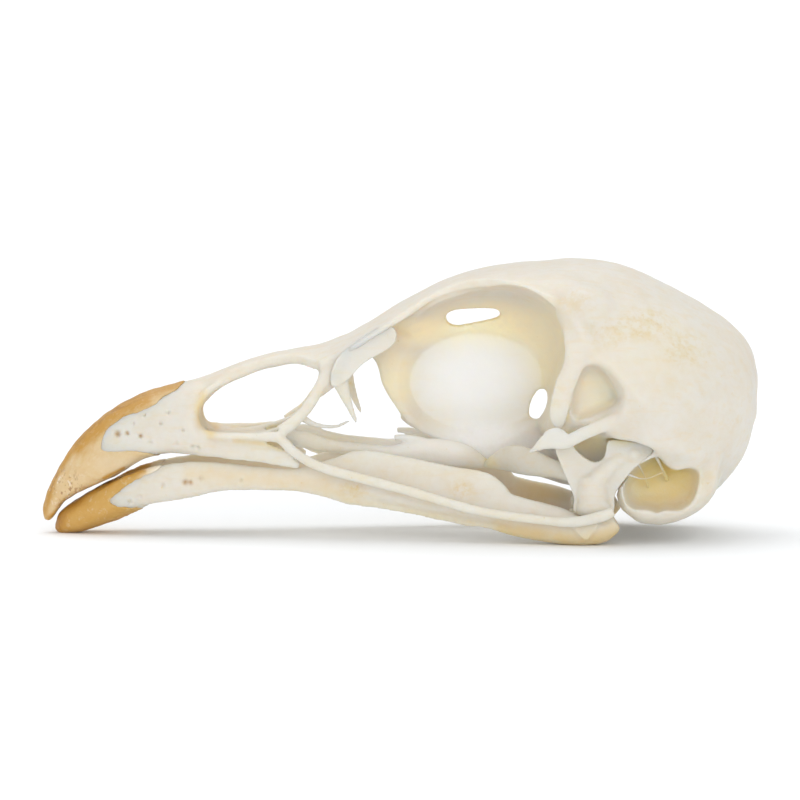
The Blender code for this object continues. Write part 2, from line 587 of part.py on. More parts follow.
def orbit(side, count=36):
    """The room of one eye, from the septum's thin oval out past the rim."""
    rim = spline([(r, r) for r in ORBIT_RIM], count, closed=True)
    rings = []
    for step in ORBIT_STEPS:
        spread = math.sqrt(1 - (1 - step) ** 2)
        ring = []
        for i in range(count):
            turn = 2 * math.pi * i / count
            inner = Vector((
                SEPTUM_OVAL[0] + SEPTUM_OVAL[2] * math.cos(turn),
                SEPTUM_OVAL[1] + SEPTUM_OVAL[3] * math.sin(turn),
            ))
            outer = Vector((
                ORBIT_CENTRE[0] + rim[i][0] * math.cos(turn),
                ORBIT_CENTRE[1] + rim[i][0] * math.sin(turn),
            ))
            point = inner.lerp(outer, spread)
            ring.append((point.x, side * (SEPTUM_HALF + ORBIT_REACH * step), point.y))
        rings.append(ring)
    rings.append([(x, side * PLATE_REACH, z) for x, y, z in rings[-1]])
    return loft(rings)


def cranium():
    """Braincase, roof and septum as one form, before they are parted."""
    whole = body(BRAINCASE, 22, sides=32)
    hollows = [ball(*hollow, side, tilt=tilt) for hollow, tilt in TEMPLE_HOLLOWS for side in (1, -1)]
    hollows += [funnel(TEMPLE, side, TEMPLE_STEPS) for side in (1, -1)]
    cut(whole, hollows)
    forms = [whole, sheet(ROOF, 20), plate(SEPTUM, -SEPTUM_ROOT_HALF, SEPTUM_ROOT_HALF, count=40)]
    forms += [body(FOREHEAD, 14, below=1.2, sides=24), rod(ROSTRUM, 20), ball(*CONDYLE)]
    for side in (1, -1):
        forms += [ball(*TEMPLE_BOSS, side), ball(*EAR_BOSS, side)]
        forms += [rod(EAR_WALL, side=side), rod(EAR_BACK, side=side)]
    unite(forms)
    rooms = []
    for side in (1, -1):
        rooms += [orbit(side), funnel(EAR_RIM, side, EAR_STEPS), quadrate_room(side, PLATE_REACH)]
    cut(whole, rooms)
    unite([whole] + [rod(bar, 24, side, grow=0.04) for bar in (POSTORBITAL, ZYGOMATIC) for side in (1, -1)])
    return blend(whole, 4400, passes=6)


def parting_cuts():
    """Thin cuts behind the orbits and under the roof."""
    reach = 1.05
    under_roof = [
        (x, top - ROOF_DEPTH, half * reach, drop * reach * reach, GAP)
        for x, top, half, drop, thick in ROOF[:-2]
    ]
    return [
        block((VAULT_X - GAP / 2, -PLATE_REACH, 10), (VAULT_X + GAP / 2, PLATE_REACH, 24)),
        block((VAULT_X - GAP / 2, -CHEEK_Y, -1), (VAULT_X + GAP / 2, CHEEK_Y, 11)),
        sheet(under_roof, 12, rim=1.0, lanes=6),
        block((-8, -7, 8), (HINGE_X + GAP / 2, 7, 18)),
    ]


def brain_room():
    """The brain cavity with the foramen magnum that opens it to the rear."""
    height, half_width, half_height = FORAMEN_MAGNUM
    neck = [
        (x, height + half_height, x, height - half_height, half_width, 0.5)
        for x in (18.0, 22.0, 26.0, 30.0)
    ]
    return [body(BRAIN, 14, above=2.2, below=1.8, sides=20), body(neck, 4, above=3, below=3, sides=24)]


def make_cranium(bone):
    whole = cranium()
    cutters = parting_cuts()
    cutters += [plate(window, -4, 4, count=16) for window in (UPPER_WINDOW, OPTIC_WINDOW)]
    for side in (1, -1):
        cutters.append(ball(*OTIC_HEAD, side, grow=GAP))
        cutters.append(rod(OTIC_PROCESS, side=side, grow=GAP))
        cutters.append(rod(ORBITAL_PROCESS, side=side, grow=GAP))
        cutters.append(quadrate_room(side, QUADRATE_SIDES[1] + GAP))
        cutters += lacrimal_room(side)
    cut(whole, cutters)
    parts = keep(whole, 3)
    braincase = parts[0]
    roof, septum = sorted(parts[1:], key=lambda part: -max(v.co.z for v in part.data.vertices))
    finish(keep(cut(braincase, brain_room()))[0], "braincase", bone)
    finish(roof, "frontal_roof", bone)
    finish(septum, "orbital_septum", bone)


# Bill

def part_horn(whole, core, bone_name, horn_name, bone, horn):
    """Parts a jaw along the edge of its horn into bone and sheath."""
    shell = cut(copy_of(whole), [plate(core, -PLATE_REACH, PLATE_REACH, grow=GAP / 2)])
    combine(whole, [plate(core, -PLATE_REACH, PLATE_REACH, grow=-GAP / 2)], "INTERSECT", "MANIFOLD")
    finish(keep(shell)[0], horn_name, horn)
    finish(keep(whole)[0], bone_name, bone)


def make_upper_jaw(bone, horn):
    beak = body(BEAK, 18, above=1.8, below=3.2, sides=24)
    cut(beak, [ball(*PALATE_HOLLOW)] + [funnel(NARIS, side, NARIS_STEPS) for side in (1, -1)])
    forms = [beak, sheet(NASAL, 18, rim=0.6)]
    for side in (1, -1):
        for bar in (NASAL_BAR, MAXILLA_ROD, TOMIAL_PLATE, PALATE_SHELF):
            forms.append(rod(bar, 20, side, grow=0.06))
        forms.append(plate(NASAL_SIDE, *(side * y for y in NASAL_FACES), count=24))
    whole = blend(unite(forms), 2300, passes=3)
    cutters = [block((HINGE_X - GAP / 2, -8, 8), (0, 8, 20))]
    for side in (1, -1):
        cutters += [rod(bar, 34, side, grow=GAP) for bar in (JUGAL, PALATINE, RAMUS)]
        cutters += lacrimal_room(side)
    cut(whole, cutters)
    part_horn(whole, UPPER_CORE, "upper_jaw", "upper_bill_sheath", bone, horn)


def make_lower_jaw(bone, horn):
    chin = body(CHIN, 14, above=2.8, below=2.0, sides=24)
    forms = [cut(chin, [ball(*JAW_HOLLOW)])]
    for side in (1, -1):
        forms.append(rod(RAMUS, 34, side=side))
        forms += [rod(PENDANT, 6, side, grow=0.06), rod(INNER_PROCESS, 6, side)]
    whole = blend(unite(forms), 1700, passes=3)
    cutters = [block((-40, -20, -5), (40, 20, 0))]
    for side in (1, -1):
        cutters.append(ball(*OUTER_CONDYLE, side, grow=GAP))
        cutters.append(ball(*INNER_CONDYLE, side, grow=GAP))
    cut(whole, cutters)
    part_horn(whole, LOWER_CORE, "mandible", "lower_bill_sheath", bone, horn)


# Bones of the palate and the cheek

def make_quadrates(bone):
    forms = [rod(OTIC_PROCESS), rod(ORBITAL_PROCESS), rod(QUADRATE_BODY, 4)]
    forms += [ball(*OTIC_HEAD), ball(*OUTER_CONDYLE), ball(*INNER_CONDYLE)]
    forms.append(plate(QUADRATE, *QUADRATE_SIDES, count=48))
    whole = blend(unite(forms), 460, voxel=FINE_VOXEL, passes=3)
    cut(whole, [rod(JUGAL, 34, grow=GAP), rod(PTERYGOID[1:], 12, grow=GAP)])
    finish_pair(keep(whole)[0], "quadrate", bone)


def make_palate(bone):
    finish_pair(rod(JUGAL[1:], 18, sides=8), "jugal", bone)
    finish_pair(rod(PTERYGOID[1:], 12, sides=10), "pterygoid", bone)
    palatine = unite([rod(PALATINE, 20, sides=10), rod(PALATINE_SPUR, 6, sides=8, grow=0.04)])
    cut(palatine, [rod(PTERYGOID[1:], 12, grow=GAP)])
    finish_pair(keep(palatine)[0], "palatine", bone)
    lacrimal = unite([plate(LACRIMAL, *LACRIMAL_SIDES, count=24), rod(LACRIMAL_SPIKE, 8, grow=0.05)])
    finish_pair(blend(lacrimal, 240, voxel=FINE_VOXEL, passes=2), "lacrimal", bone)


def main():
    for obj in list(bpy.data.objects):
        bpy.data.objects.remove(obj, do_unlink=True)
    bone = material("bone", BONE, BONE_ROUGHNESS)
    horn = material("horn", HORN, HORN_ROUGHNESS)
    make_cranium(bone)
    make_upper_jaw(bone, horn)
    make_lower_jaw(bone, horn)
    make_quadrates(bone)
    make_palate(bone)


main()
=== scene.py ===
# Chukar skull with its jaw closed: the fine surface of every bone and horn sheath.
# Bones are shaped in millimetres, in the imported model's own frame, and scaled to metres when
# finished. The bill points along -X and the sagittal plane is Y = 0. Lists of stations give
# the right side (+Y); the other side is mirrored.

import math

import bmesh
import bpy
import numpy as np
from mathutils import Matrix, Vector, noise
from mathutils.bvhtree import BVHTree


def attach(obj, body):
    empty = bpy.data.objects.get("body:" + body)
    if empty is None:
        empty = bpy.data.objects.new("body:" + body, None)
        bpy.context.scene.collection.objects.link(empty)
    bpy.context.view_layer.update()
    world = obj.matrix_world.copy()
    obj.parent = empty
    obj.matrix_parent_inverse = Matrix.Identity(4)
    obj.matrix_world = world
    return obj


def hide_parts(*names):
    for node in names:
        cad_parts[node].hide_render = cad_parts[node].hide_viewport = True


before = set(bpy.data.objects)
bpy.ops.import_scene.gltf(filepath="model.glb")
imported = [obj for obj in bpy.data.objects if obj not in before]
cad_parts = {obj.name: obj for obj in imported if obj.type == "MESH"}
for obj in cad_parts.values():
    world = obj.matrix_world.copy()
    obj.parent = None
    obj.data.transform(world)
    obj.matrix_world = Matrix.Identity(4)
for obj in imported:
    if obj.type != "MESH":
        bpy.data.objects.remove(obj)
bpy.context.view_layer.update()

MM = 0.001

# Photograph: scale, the pixel row of the table line under the skull, and the view.
PHOTO_SIZE = 800
PIXELS_PER_MM = 12.5
TABLE_ROW = 533.5
VIEW_AZIMUTH = 2.0
VIEW_ELEVATION = 5.0
CAMERA_DISTANCE = 0.62
CAMERA_REACH = (0.01, 20)
SENSOR_WIDTH = 36

VOXEL = 0.15        # grid on which forms are fused, in millimetres
FINE_VOXEL = 0.1    # the same for the small, loose bones
DEEPEST = 9.0       # bone thicker than this counts as this thick
INSIDE = 0.02       # rays into the bone start this far below its surface
OUTSIDE = 0.03      # and rays away from it this far above
SEPTUM_HALF = 0.26  # half the thickness of the thin plate between the eyes
HEAD_ROOM = 0.12    # room round the quadrate's head in the skull
SLOT_ROOM = 0.22    # room round its plate
SOCKET_ROOM = 0.15  # room round its knobs in the jaw
PLATE_SWELL = 0.1   # how far its plate is filled out
HORN_SEAM = 0.25    # between the bone of the bill and the edge of its sheath
UPPER_PROUD = 0.06  # how far the sheaths stand out
LOWER_PROUD = 0.05
BEAK_PIT_DEPTH = 0.3
JAW_PIT_DEPTH = 0.25

# The most triangles of a piece, by the first word of its name, and of any other piece.
TRIANGLES = {"skull": 195000, "jaw": 150000, "upper": 60000, "lower": 40000, "quadrate": 30000}
OTHER_TRIANGLES = 20000

# Sections along X: x and z of the top, x and z of the bottom, half width, and how far up
# the widest line lies.
BRAINCASE = (
    (9.6, 21.2, 9.6, 12.5, 5.0, 0.5), (11.6, 21.9, 11.8, 7.4, 8.4, 0.5),
    (14.6, 22.1, 14.6, 4.6, 10.3, 0.5), (18.0, 21.5, 18.0, 3.5, 10.9, 0.46),
    (21.2, 20.05, 20.8, 2.9, 10.8, 0.45), (24.3, 18.4, 23.4, 2.5, 9.7, 0.46),
    (26.6, 16.75, 25.8, 4.1, 8.0, 0.5), (28.0, 15.0, 27.7, 6.5, 5.8, 0.5),
    (28.6, 12.9, 28.45, 9.4, 2.6, 0.5),
)
BRAIN = (
    (14.2, 15.4, 14.2, 10.6, 2.0, 0.5), (15.6, 18.3, 15.6, 6.6, 6.4, 0.5),
    (18.0, 19.8, 18.0, 4.4, 8.7, 0.5), (21.4, 18.5, 21.4, 4.4, 9.0, 0.5),
    (24.2, 16.8, 24.4, 4.4, 7.6, 0.5), (26.4, 14.6, 26.2, 8.2, 4.6, 0.5),
    (27.2, 12.6, 27.2, 10.0, 1.8, 0.5),
)
BEAK = (
    (-28.62, 1.7, -28.45, 0.9, 0.3, 0.5), (-28.5, 2.55, -27.9, 1.25, 0.8, 0.4),
    (-27.65, 4.65, -26.9, 2.55, 1.35, 0.35), (-25.9, 7.4, -25.1, 3.6, 2.05, 0.3),
    (-23.4, 9.68, -22.7, 4.7, 2.75, 0.28), (-20.6, 11.22, -20.4, 6.1, 3.3, 0.26),
    (-18.0, 12.0, -18.0, 6.5, 3.7, 0.25), (-15.4, 12.6, -15.8, 6.35, 4.0, 0.25),
    (-13.4, 13.4, -13.4, 6.2, 4.1, 0.25),
)
CHIN = (
    (-27.62, 0.75, -27.6, 0.2, 0.35, 0.5), (-27.1, 1.75, -27.1, -0.05, 1.0, 0.5),
    (-25.4, 2.95, -25.6, 0.12, 1.75, 0.5), (-23.2, 4.15, -23.0, 0.95, 2.35, 0.5),
    (-21.2, 4.85, -20.8, 1.7, 2.9, 0.5), (-20.0, 5.1, -19.6, 2.35, 3.05, 0.5),
)

# Arched sheets along X: x, height of the midline, half width, drop to the edge, thickness.
ROOF = (
    (-6.8, 14.85, 2.4, 0.5, 0.8), (-4.8, 15.7, 4.7, 0.9, 1.2), (-2.4, 17.05, 5.3, 0.8, 1.3),
    (0.4, 18.75, 5.2, 0.7, 1.4), (3.4, 20.3, 4.6, 0.4, 1.5), (6.4, 21.25, 5.2, 0.5, 1.6),
    (9.4, 21.75, 7.2, 1.1, 1.7), (11.6, 21.9, 8.3, 2.0, 1.9), (13.4, 21.85, 7.7, 2.6, 2.4),
    (15.6, 21.2, 6.0, 2.4, 2.4),
)
NASAL = (
    (-17.2, 12.1, 2.5, 2.2, 3.0), (-14.6, 13.0, 1.9, 0.6, 1.5), (-11.4, 14.2, 1.75, 0.3, 1.2),
    (-8.4, 14.85, 2.2, 0.4, 1.15), (-6.4, 15.2, 3.9, 1.0, 1.2), (-3.8, 16.2, 4.8, 1.0, 1.3),
)

# Bars: x, y, z, half thickness and half height.
NASAL_BAR = (
    (-5.2, 4.2, 13.6, 0.4, 0.9), (-6.1, 4.5, 12.3, 0.34, 0.5), (-7.0, 4.65, 10.8, 0.32, 0.45),
    (-8.0, 4.8, 9.6, 0.32, 0.45), (-9.3, 4.9, 8.6, 0.4, 0.55),
)
MAXILLA_ROD = (
    (-17.4, 2.8, 8.3, 0.5, 0.6), (-14.8, 3.75, 8.2, 0.45, 0.36), (-12.0, 4.5, 8.2, 0.4, 0.3),
    (-10.4, 4.8, 8.2, 0.42, 0.38), (-9.3, 5.0, 8.1, 0.4, 0.48),
)
TOMIAL_PLATE = (
    (-17.6, 2.6, 7.4, 0.5, 0.8), (-15.4, 3.45, 7.3, 0.45, 0.9), (-13.0, 4.1, 7.15, 0.4, 0.95),
    (-11.2, 4.45, 6.95, 0.36, 0.88), (-9.6, 4.7, 6.6, 0.32, 0.72), (-8.6, 4.85, 6.2, 0.28, 0.52),
    (-7.8, 4.95, 5.85, 0.2, 0.28),
)
PALATE_SHELF = (
    (-17.4, 1.7, 7.4, 1.7, 0.7), (-14.0, 2.0, 7.5, 1.5, 0.5), (-10.6, 2.6, 7.55, 0.8, 0.5),
    (-8.6, 2.85, 7.6, 0.4, 0.45), (-7.6, 2.9, 7.6, 0.2, 0.3),
)
SPICULE = (
    (-8.2, 4.3, 9.9, 0.3, 0.4), (-7.5, 4.1, 9.55, 0.22, 0.3), (-6.7, 3.9, 9.1, 0.2, 0.24),
    (-5.5, 3.7, 8.88, 0.17, 0.18), (-4.7, 3.6, 9.0, 0.15, 0.16), (-3.9, 3.5, 9.36, 0.13, 0.13),
)
JUGAL = (
    (-9.7, 5.0, 8.35, 0.4, 0.45), (-9.0, 5.15, 7.75, 0.34, 0.42), (-8.2, 5.35, 7.0, 0.3, 0.42),
    (-6.8, 5.8, 6.2, 0.3, 0.42), (-4.6, 6.5, 5.5, 0.3, 0.42), (0.3, 7.6, 4.35, 0.3, 0.4),
    (6.0, 8.8, 2.85, 0.3, 0.38), (10.6, 9.6, 2.2, 0.3, 0.38), (13.9, 10.05, 2.0, 0.3, 0.42),
    (16.2, 10.2, 2.45, 0.34, 0.46), (17.2, 10.1, 2.85, 0.3, 0.4),
)
PALATINE = (
    (-9.6, 3.0, 7.9, 0.3, 0.5), (-8.4, 2.9, 7.85, 0.32, 0.7), (-7.1, 2.9, 7.72, 0.34, 0.68),
    (-6.3, 2.9, 7.45, 0.34, 0.6), (-4.7, 2.95, 7.2, 0.38, 0.5), (-3.1, 3.05, 7.0, 0.42, 0.52),
    (-1.5, 3.15, 6.8, 0.48, 0.57), (-0.3, 3.2, 6.75, 0.52, 0.64), (1.7, 3.2, 6.95, 0.58, 0.95),
    (3.5, 3.1, 6.85, 0.62, 1.05), (4.9, 2.9, 6.6, 0.58, 1.0), (6.0, 2.5, 6.2, 0.5, 0.75),
    (7.0, 2.2, 5.85, 0.4, 0.35), (7.6, 2.1, 5.75, 0.3, 0.22),
)
PALATINE_SPUR = (
    (3.2, 3.0, 7.3, 0.3, 0.3), (1.7, 3.1, 7.8, 0.28, 0.28), (0.6, 3.15, 7.98, 0.26, 0.28),
    (-0.35, 3.2, 8.02, 0.2, 0.22),
)
PTERYGOID = (
    (13.8, 7.0, 5.4, 0.4, 0.6), (13.0, 6.6, 5.68, 0.4, 0.66), (11.8, 5.9, 5.94, 0.42, 0.85),
    (10.6, 5.1, 6.19, 0.42, 1.05), (9.35, 4.2, 6.4, 0.42, 1.15), (8.4, 3.4, 6.28, 0.42, 0.92),
    (7.5, 2.8, 5.99, 0.38, 0.55), (6.8, 2.4, 5.72, 0.25, 0.22),
)
RAMUS = (
    (-25.4, 1.0, 1.9, 0.3, 0.5), (-23.0, 1.8, 3.0, 0.5, 1.0), (-20.6, 2.5, 3.8, 0.55, 1.4),
    (-17.2, 3.1, 4.5, 0.55, 1.5), (-14.0, 3.5, 4.85, 0.5, 1.15), (-11.0, 3.9, 4.75, 0.5, 0.95),
    (-8.0, 4.3, 4.7, 0.5, 0.95), (-5.6, 4.75, 4.8, 0.48, 1.55), (-4.0, 5.0, 4.85, 0.48, 2.1),
    (-2.4, 5.3, 4.93, 0.48, 2.3), (1.0, 5.95, 4.42, 0.48, 2.25), (4.0, 6.5, 3.85, 0.48, 2.25),
    (6.4, 6.95, 3.45, 0.5, 2.3), (7.4, 7.15, 3.05, 0.52, 2.05), (8.4, 7.3, 2.5, 0.56, 1.65),
    (10.0, 7.6, 2.05, 0.7, 1.6), (12.3, 8.0, 1.6, 1.0, 1.5), (14.4, 8.2, 1.15, 1.3, 1.25),
    (16.2, 8.3, 1.25, 1.2, 1.1), (17.4, 8.4, 1.8, 0.7, 0.6),
)
POSTORBITAL = (
    (13.4, 7.6, 18.6, 0.6, 1.0), (14.2, 9.0, 17.2, 0.6, 1.2), (14.3, 9.8, 15.8, 0.5, 1.1),
    (14.0, 10.0, 14.3, 0.4, 0.85), (13.45, 9.9, 13.1, 0.36, 0.84), (13.05, 9.8, 11.9, 0.32, 0.8),
    (12.82, 9.65, 10.6, 0.28, 0.76), (12.8, 9.5, 9.9, 0.24, 0.62), (12.8, 9.4, 9.3, 0.16, 0.32),
)
ZYGOMATIC = (
    (20.8, 9.4, 11.6, 0.8, 1.5), (19.4, 9.9, 10.9, 0.6, 1.0), (17.8, 10.15, 10.3, 0.42, 0.64),
    (16.3, 10.3, 9.65, 0.32, 0.56), (14.8, 10.25, 9.0, 0.28, 0.55), (13.7, 10.1, 8.45, 0.26, 0.58),
    (13.1, 10.05, 8.5, 0.24, 0.8), (12.55, 10.0, 8.62, 0.22, 0.93), (11.9, 9.85, 8.32, 0.2, 0.67),
    (11.3, 9.7, 7.95, 0.18, 0.38), (10.5, 9.5, 7.42, 0.12, 0.12),
)
OTIC_PROCESS = (
    (15.4, 8.5, 4.6, 0.8, 1.0), (16.6, 8.4, 6.0, 0.65, 0.8), (17.9, 8.2, 7.0, 0.6, 0.8),
    (18.7, 8.1, 7.3, 0.6, 0.6),
)
ORBITAL_PROCESS = (
    (15.2, 8.4, 4.4, 0.7, 1.0), (14.2, 7.9, 5.7, 0.45, 0.7), (13.5, 7.3, 7.0, 0.4, 0.5),
    (13.1, 6.8, 8.1, 0.3, 0.3),
)
QUADRATE_BODY = (
    (15.4, 8.4, 5.4, 0.7, 1.0), (15.45, 8.45, 4.6, 0.85, 1.2), (15.5, 8.45, 3.8, 1.0, 1.3),
    (15.55, 8.4, 3.0, 1.0, 1.2),
)
OTIC_HEAD = ((18.8, 8.0, 7.3), (0.9, 0.9, 0.8))
OUTER_CONDYLE = ((15.6, 8.75, 3.0), (1.35, 0.85, 0.9))
INNER_CONDYLE = ((15.2, 7.4, 3.0), (1.0, 0.8, 0.8))

NARIS_FRAME = (
    (-16.25, 2.8, 9.9, 0.5, 0.3), (-16.0, 3.0, 8.9, 0.5, 0.26), (-15.2, 3.1, 8.2, 0.5, 0.2),
    (-14.2, 3.15, 7.95, 0.5, 0.18), (-12.8, 3.2, 7.98, 0.5, 0.18), (-11.0, 3.4, 8.3, 0.45, 0.18),
    (-9.4, 3.7, 8.75, 0.4, 0.18), (-8.2, 4.0, 9.45, 0.36, 0.18), (-7.2, 4.1, 10.6, 0.34, 0.18),
    (-6.4, 4.0, 12.1, 0.34, 0.2), (-6.1, 3.4, 13.4, 0.4, 0.24), (-6.8, 2.4, 14.2, 0.4, 0.24),
    (-8.3, 1.6, 14.15, 0.4, 0.24), (-10.3, 1.3, 13.75, 0.4, 0.24), (-12.2, 1.4, 13.0, 0.4, 0.24),
    (-14.0, 1.8, 12.3, 0.4, 0.26), (-15.4, 2.4, 11.4, 0.45, 0.3), (-16.25, 2.8, 9.9, 0.5, 0.3),
)
EAR_WALL = (
    (17.7, 8.4, 3.9, 0.9, 1.2), (18.6, 8.0, 4.1, 1.5, 2.3), (19.8, 7.4, 4.3, 2.0, 2.85),
    (21.4, 6.9, 4.6, 2.2, 3.0), (23.0, 6.2, 5.2, 2.0, 2.7), (24.2, 5.6, 6.2, 1.3, 1.9),
    (25.0, 5.2, 7.4, 0.7, 1.1),
)
EAR_BACK = (
    (24.0, 8.0, 10.0, 1.0, 1.6), (24.4, 7.4, 7.2, 0.9, 1.2), (24.4, 6.9, 4.8, 0.75, 0.9),
    (23.6, 6.9, 3.1, 0.5, 0.55),
)
EAR_SPUR = ((21.2, 8.9, 7.9, 0.5, 0.5), (20.5, 9.2, 7.35, 0.22, 0.24), (19.3, 9.4, 6.65, 0.12, 0.12))
ROSTRUM = (
    (0.1, 0, 9.5, 0.3, 0.3), (1.2, 0, 8.85, 0.45, 0.45), (3.6, 0, 7.95, 0.5, 0.5),
    (7.4, 0, 6.2, 0.65, 0.55), (10.5, 0, 5.5, 1.0, 0.7),
    (13.6, 0, 5.0, 1.7, 1.1), (16.6, 0, 5.0, 2.4, 1.6),
)
SKULL_BARS = (NASAL_BAR, MAXILLA_ROD, TOMIAL_PLATE, PALATE_SHELF, NARIS_FRAME, EAR_WALL, EAR_BACK)
LATE_BARS = (POSTORBITAL, ZYGOMATIC, EAR_SPUR, JUGAL)
EAR_THREADS = (
    ((20.4, 8.4, 7.3, 0.16, 0.16), (20.9, 7.9, 6.2, 0.09, 0.09), (21.4, 6.4, 5.0, 0.14, 0.14)),
    ((18.1, 8.5, 5.7, 0.12, 0.12), (19.6, 7.7, 5.2, 0.05, 0.05), (21.0, 7.4, 5.7, 0.07, 0.07)),
    ((19.0, 8.6, 6.6, 0.12, 0.12), (19.5, 7.4, 5.6, 0.05, 0.05), (19.9, 6.3, 4.4, 0.08, 0.08)),
)
INNER_PROCESS = ((14.6, 7.8, 1.6, 0.6, 0.7), (14.2, 6.4, 1.9, 0.5, 0.6), (13.8, 5.0, 2.4, 0.25, 0.3))
JAW_BARS = (RAMUS, INNER_PROCESS)
LACRIMAL_SPIKE = (
    (-4.7, 4.6, 13.0, 0.3, 0.75), (-4.4, 4.55, 12.0, 0.26, 0.55), (-3.9, 4.5, 10.7, 0.2, 0.32),
    (-3.3, 4.5, 9.3, 0.1, 0.12),
)

# Eye socket: its centre in x and z, the rim's distance every 30 degrees from the rear round by
# the top, how far the rim stands out from the septum, a y past the skull, the share of the way
# that is straight, the septum's thin oval, and steps from the oval (0) to the rim (1).
ORBIT_CENTRE = (6.6, 13.4)
ORBIT_RIM = (6.3, 7.9, 7.9, 7.2, 7.1, 8.0, 8.8, 8.8, 8.4, 8.6, 7.6, 6.4)
ORBIT_REACH = 9.0
ORBIT_PAST = 14.0
ORBIT_STRAIGHT = 0.03
SEPTUM_OVAL = ((6.2, 12.2), 5.6, 4.1)
ORBIT_STEPS = (0.0, 0.02, 0.04, 0.07, 0.1, 0.16, 0.22, 0.3, 0.4, 0.52, 0.65, 0.8, 1.0)

# Outlines in x and z.
SEPTUM = (
    (-3.4, 15.6), (-1.9, 13.8), (-1.4, 12.0), (-0.3, 10.2), (0.8, 8.8), (2.4, 7.9), (4.8, 7.1),
    (7.4, 5.7), (10.0, 5.0), (14.0, 4.4), (16.0, 8.0), (16.0, 18.0), (12.0, 20.8), (6.0, 20.4),
    (2.0, 18.9), (-1.0, 17.2),
)
LACRIMAL = (
    (-0.35, 16.9), (-0.1, 16.2), (-0.5, 15.4), (-2.0, 14.5), (-3.0, 13.8), (-3.8, 12.9),
    (-4.7, 12.3), (-5.3, 12.3), (-5.3, 13.4), (-4.6, 14.7), (-3.4, 15.8), (-2.0, 16.7),
    (-1.1, 17.1),
)
NASAL_SIDE = (
    (-6.35, 14.0), (-6.2, 13.6), (-6.1, 13.0), (-6.6, 11.9), (-6.3, 11.3), (-5.6, 11.7),
    (-4.6, 12.6), (-4.0, 14.2), (-4.2, 14.9), (-5.2, 14.7), (-5.9, 14.35),
)
NARIS = (
    (-15.95, 10.0), (-15.85, 9.2), (-15.4, 8.5), (-14.4, 8.1), (-13.0, 8.1), (-11.2, 8.43),
    (-9.6, 8.85), (-8.4, 9.5), (-7.6, 10.25), (-6.9, 11.3), (-6.45, 12.3), (-6.3, 13.0),
    (-6.55, 13.65), (-7.2, 13.95), (-8.4, 13.85), (-10.0, 13.5), (-12.0, 12.77), (-13.6, 12.13),
    (-14.8, 11.5), (-15.6, 10.7),
)
UPPER_WINDOW = (
    (3.6, 17.4), (4.3, 18.0), (6.0, 18.15), (7.8, 18.05), (7.9, 17.4), (5.8, 16.95), (4.3, 16.75),
)
OPTIC_WINDOW = (
    (10.4, 9.4), (10.5, 10.6), (11.1, 11.6), (11.75, 11.5), (11.75, 10.4), (11.2, 9.3),
)
TEMPLE = (
    (14.6, 14.0), (15.5, 14.4), (16.4, 13.95), (17.1, 12.9), (17.6, 11.85), (17.3, 11.3), (16.3, 10.7),
    (15.1, 10.15), (14.1, 9.85), (13.7, 10.4), (13.8, 11.6), (14.1, 12.9),
)
EAR_RIM = (
    (19.45, 6.6), (18.7, 6.15), (18.15, 5.3), (17.95, 4.4), (18.2, 3.4), (18.9, 2.95), (19.9, 2.85),
    (20.6, 2.6), (21.3, 2.85), (22.3, 2.7), (23.2, 3.1), (23.75, 4.0), (24.0, 5.2), (23.75, 6.0),
    (22.9, 6.15), (22.1, 5.95), (21.3, 6.35), (20.7, 7.1), (20.1, 7.0),
)
QUADRATE = (
    (12.7, 8.0), (12.69, 7.4), (12.93, 6.8), (13.25, 6.0), (13.73, 4.86), (14.13, 3.82),
    (14.29, 2.5), (16.93, 2.5), (17.17, 4.06), (17.81, 5.1), (18.69, 6.15), (19.65, 6.95),
    (20.2, 7.5), (20.0, 7.85), (19.1, 8.05), (17.9, 8.24), (16.85, 8.24), (16.65, 7.6),
    (16.5, 7.0), (16.1, 6.6), (15.5, 6.5), (14.8, 6.87), (14.15, 7.45), (13.7, 8.1), (13.2, 8.6),
)
PENDANT = ((14.0, 2.0), (14.2, 1.2), (14.9, 0.5), (15.4, 0.85), (15.95, 1.9))
UPPER_CORE = (
    (-16.2, 13.6), (-17.2, 12.3), (-17.75, 11.7), (-18.7, 11.2), (-19.5, 10.5), (-20.55, 10.0),
    (-21.7, 9.65), (-22.7, 9.05), (-23.3, 8.55), (-23.7, 7.75), (-23.8, 6.95), (-23.3, 6.72),
    (-22.4, 6.75), (-21.1, 6.8), (-20.1, 6.65), (-19.2, 6.4), (-18.7, 5.9), (-18.2, 4.5),
)
LOWER_CORE = (
    (-18.2, 7.5), (-18.5, 6.2), (-19.3, 5.35), (-20.3, 4.87), (-21.5, 4.22), (-22.6, 3.35),
    (-23.1, 2.8), (-22.6, 2.35), (-21.6, 2.2), (-20.6, 2.2), (-19.8, 1.9), (-19.2, 1.2), (-18.5, -1.0),
)

# Plates and slots: y of their two faces, on the right side.
SEPTUM_ROOT_FACES = (-0.9, 0.9)
NASAL_SIDE_FACES = (3.7, 4.4)
LACRIMAL_FACES = (4.3, 5.0)
QUADRATE_FACES = (7.9, 8.7)
QUADRATE_SLOT = (7.3, 14)
PENDANT_FACES = (8.6, 9.75)
UPPER_WINDOW_FACES = (-4, 4)
OPTIC_WINDOW_FACES = (-3, 3)

# Corners in x and z and faces in y that lie far past the skull, and a block below the table.
FAR_CORNERS = ((60, -10), (60, 40))
FAR_FACES = (-14, 14)
BELOW_TABLE = ((-40, -20, -6), (40, 20, 0))

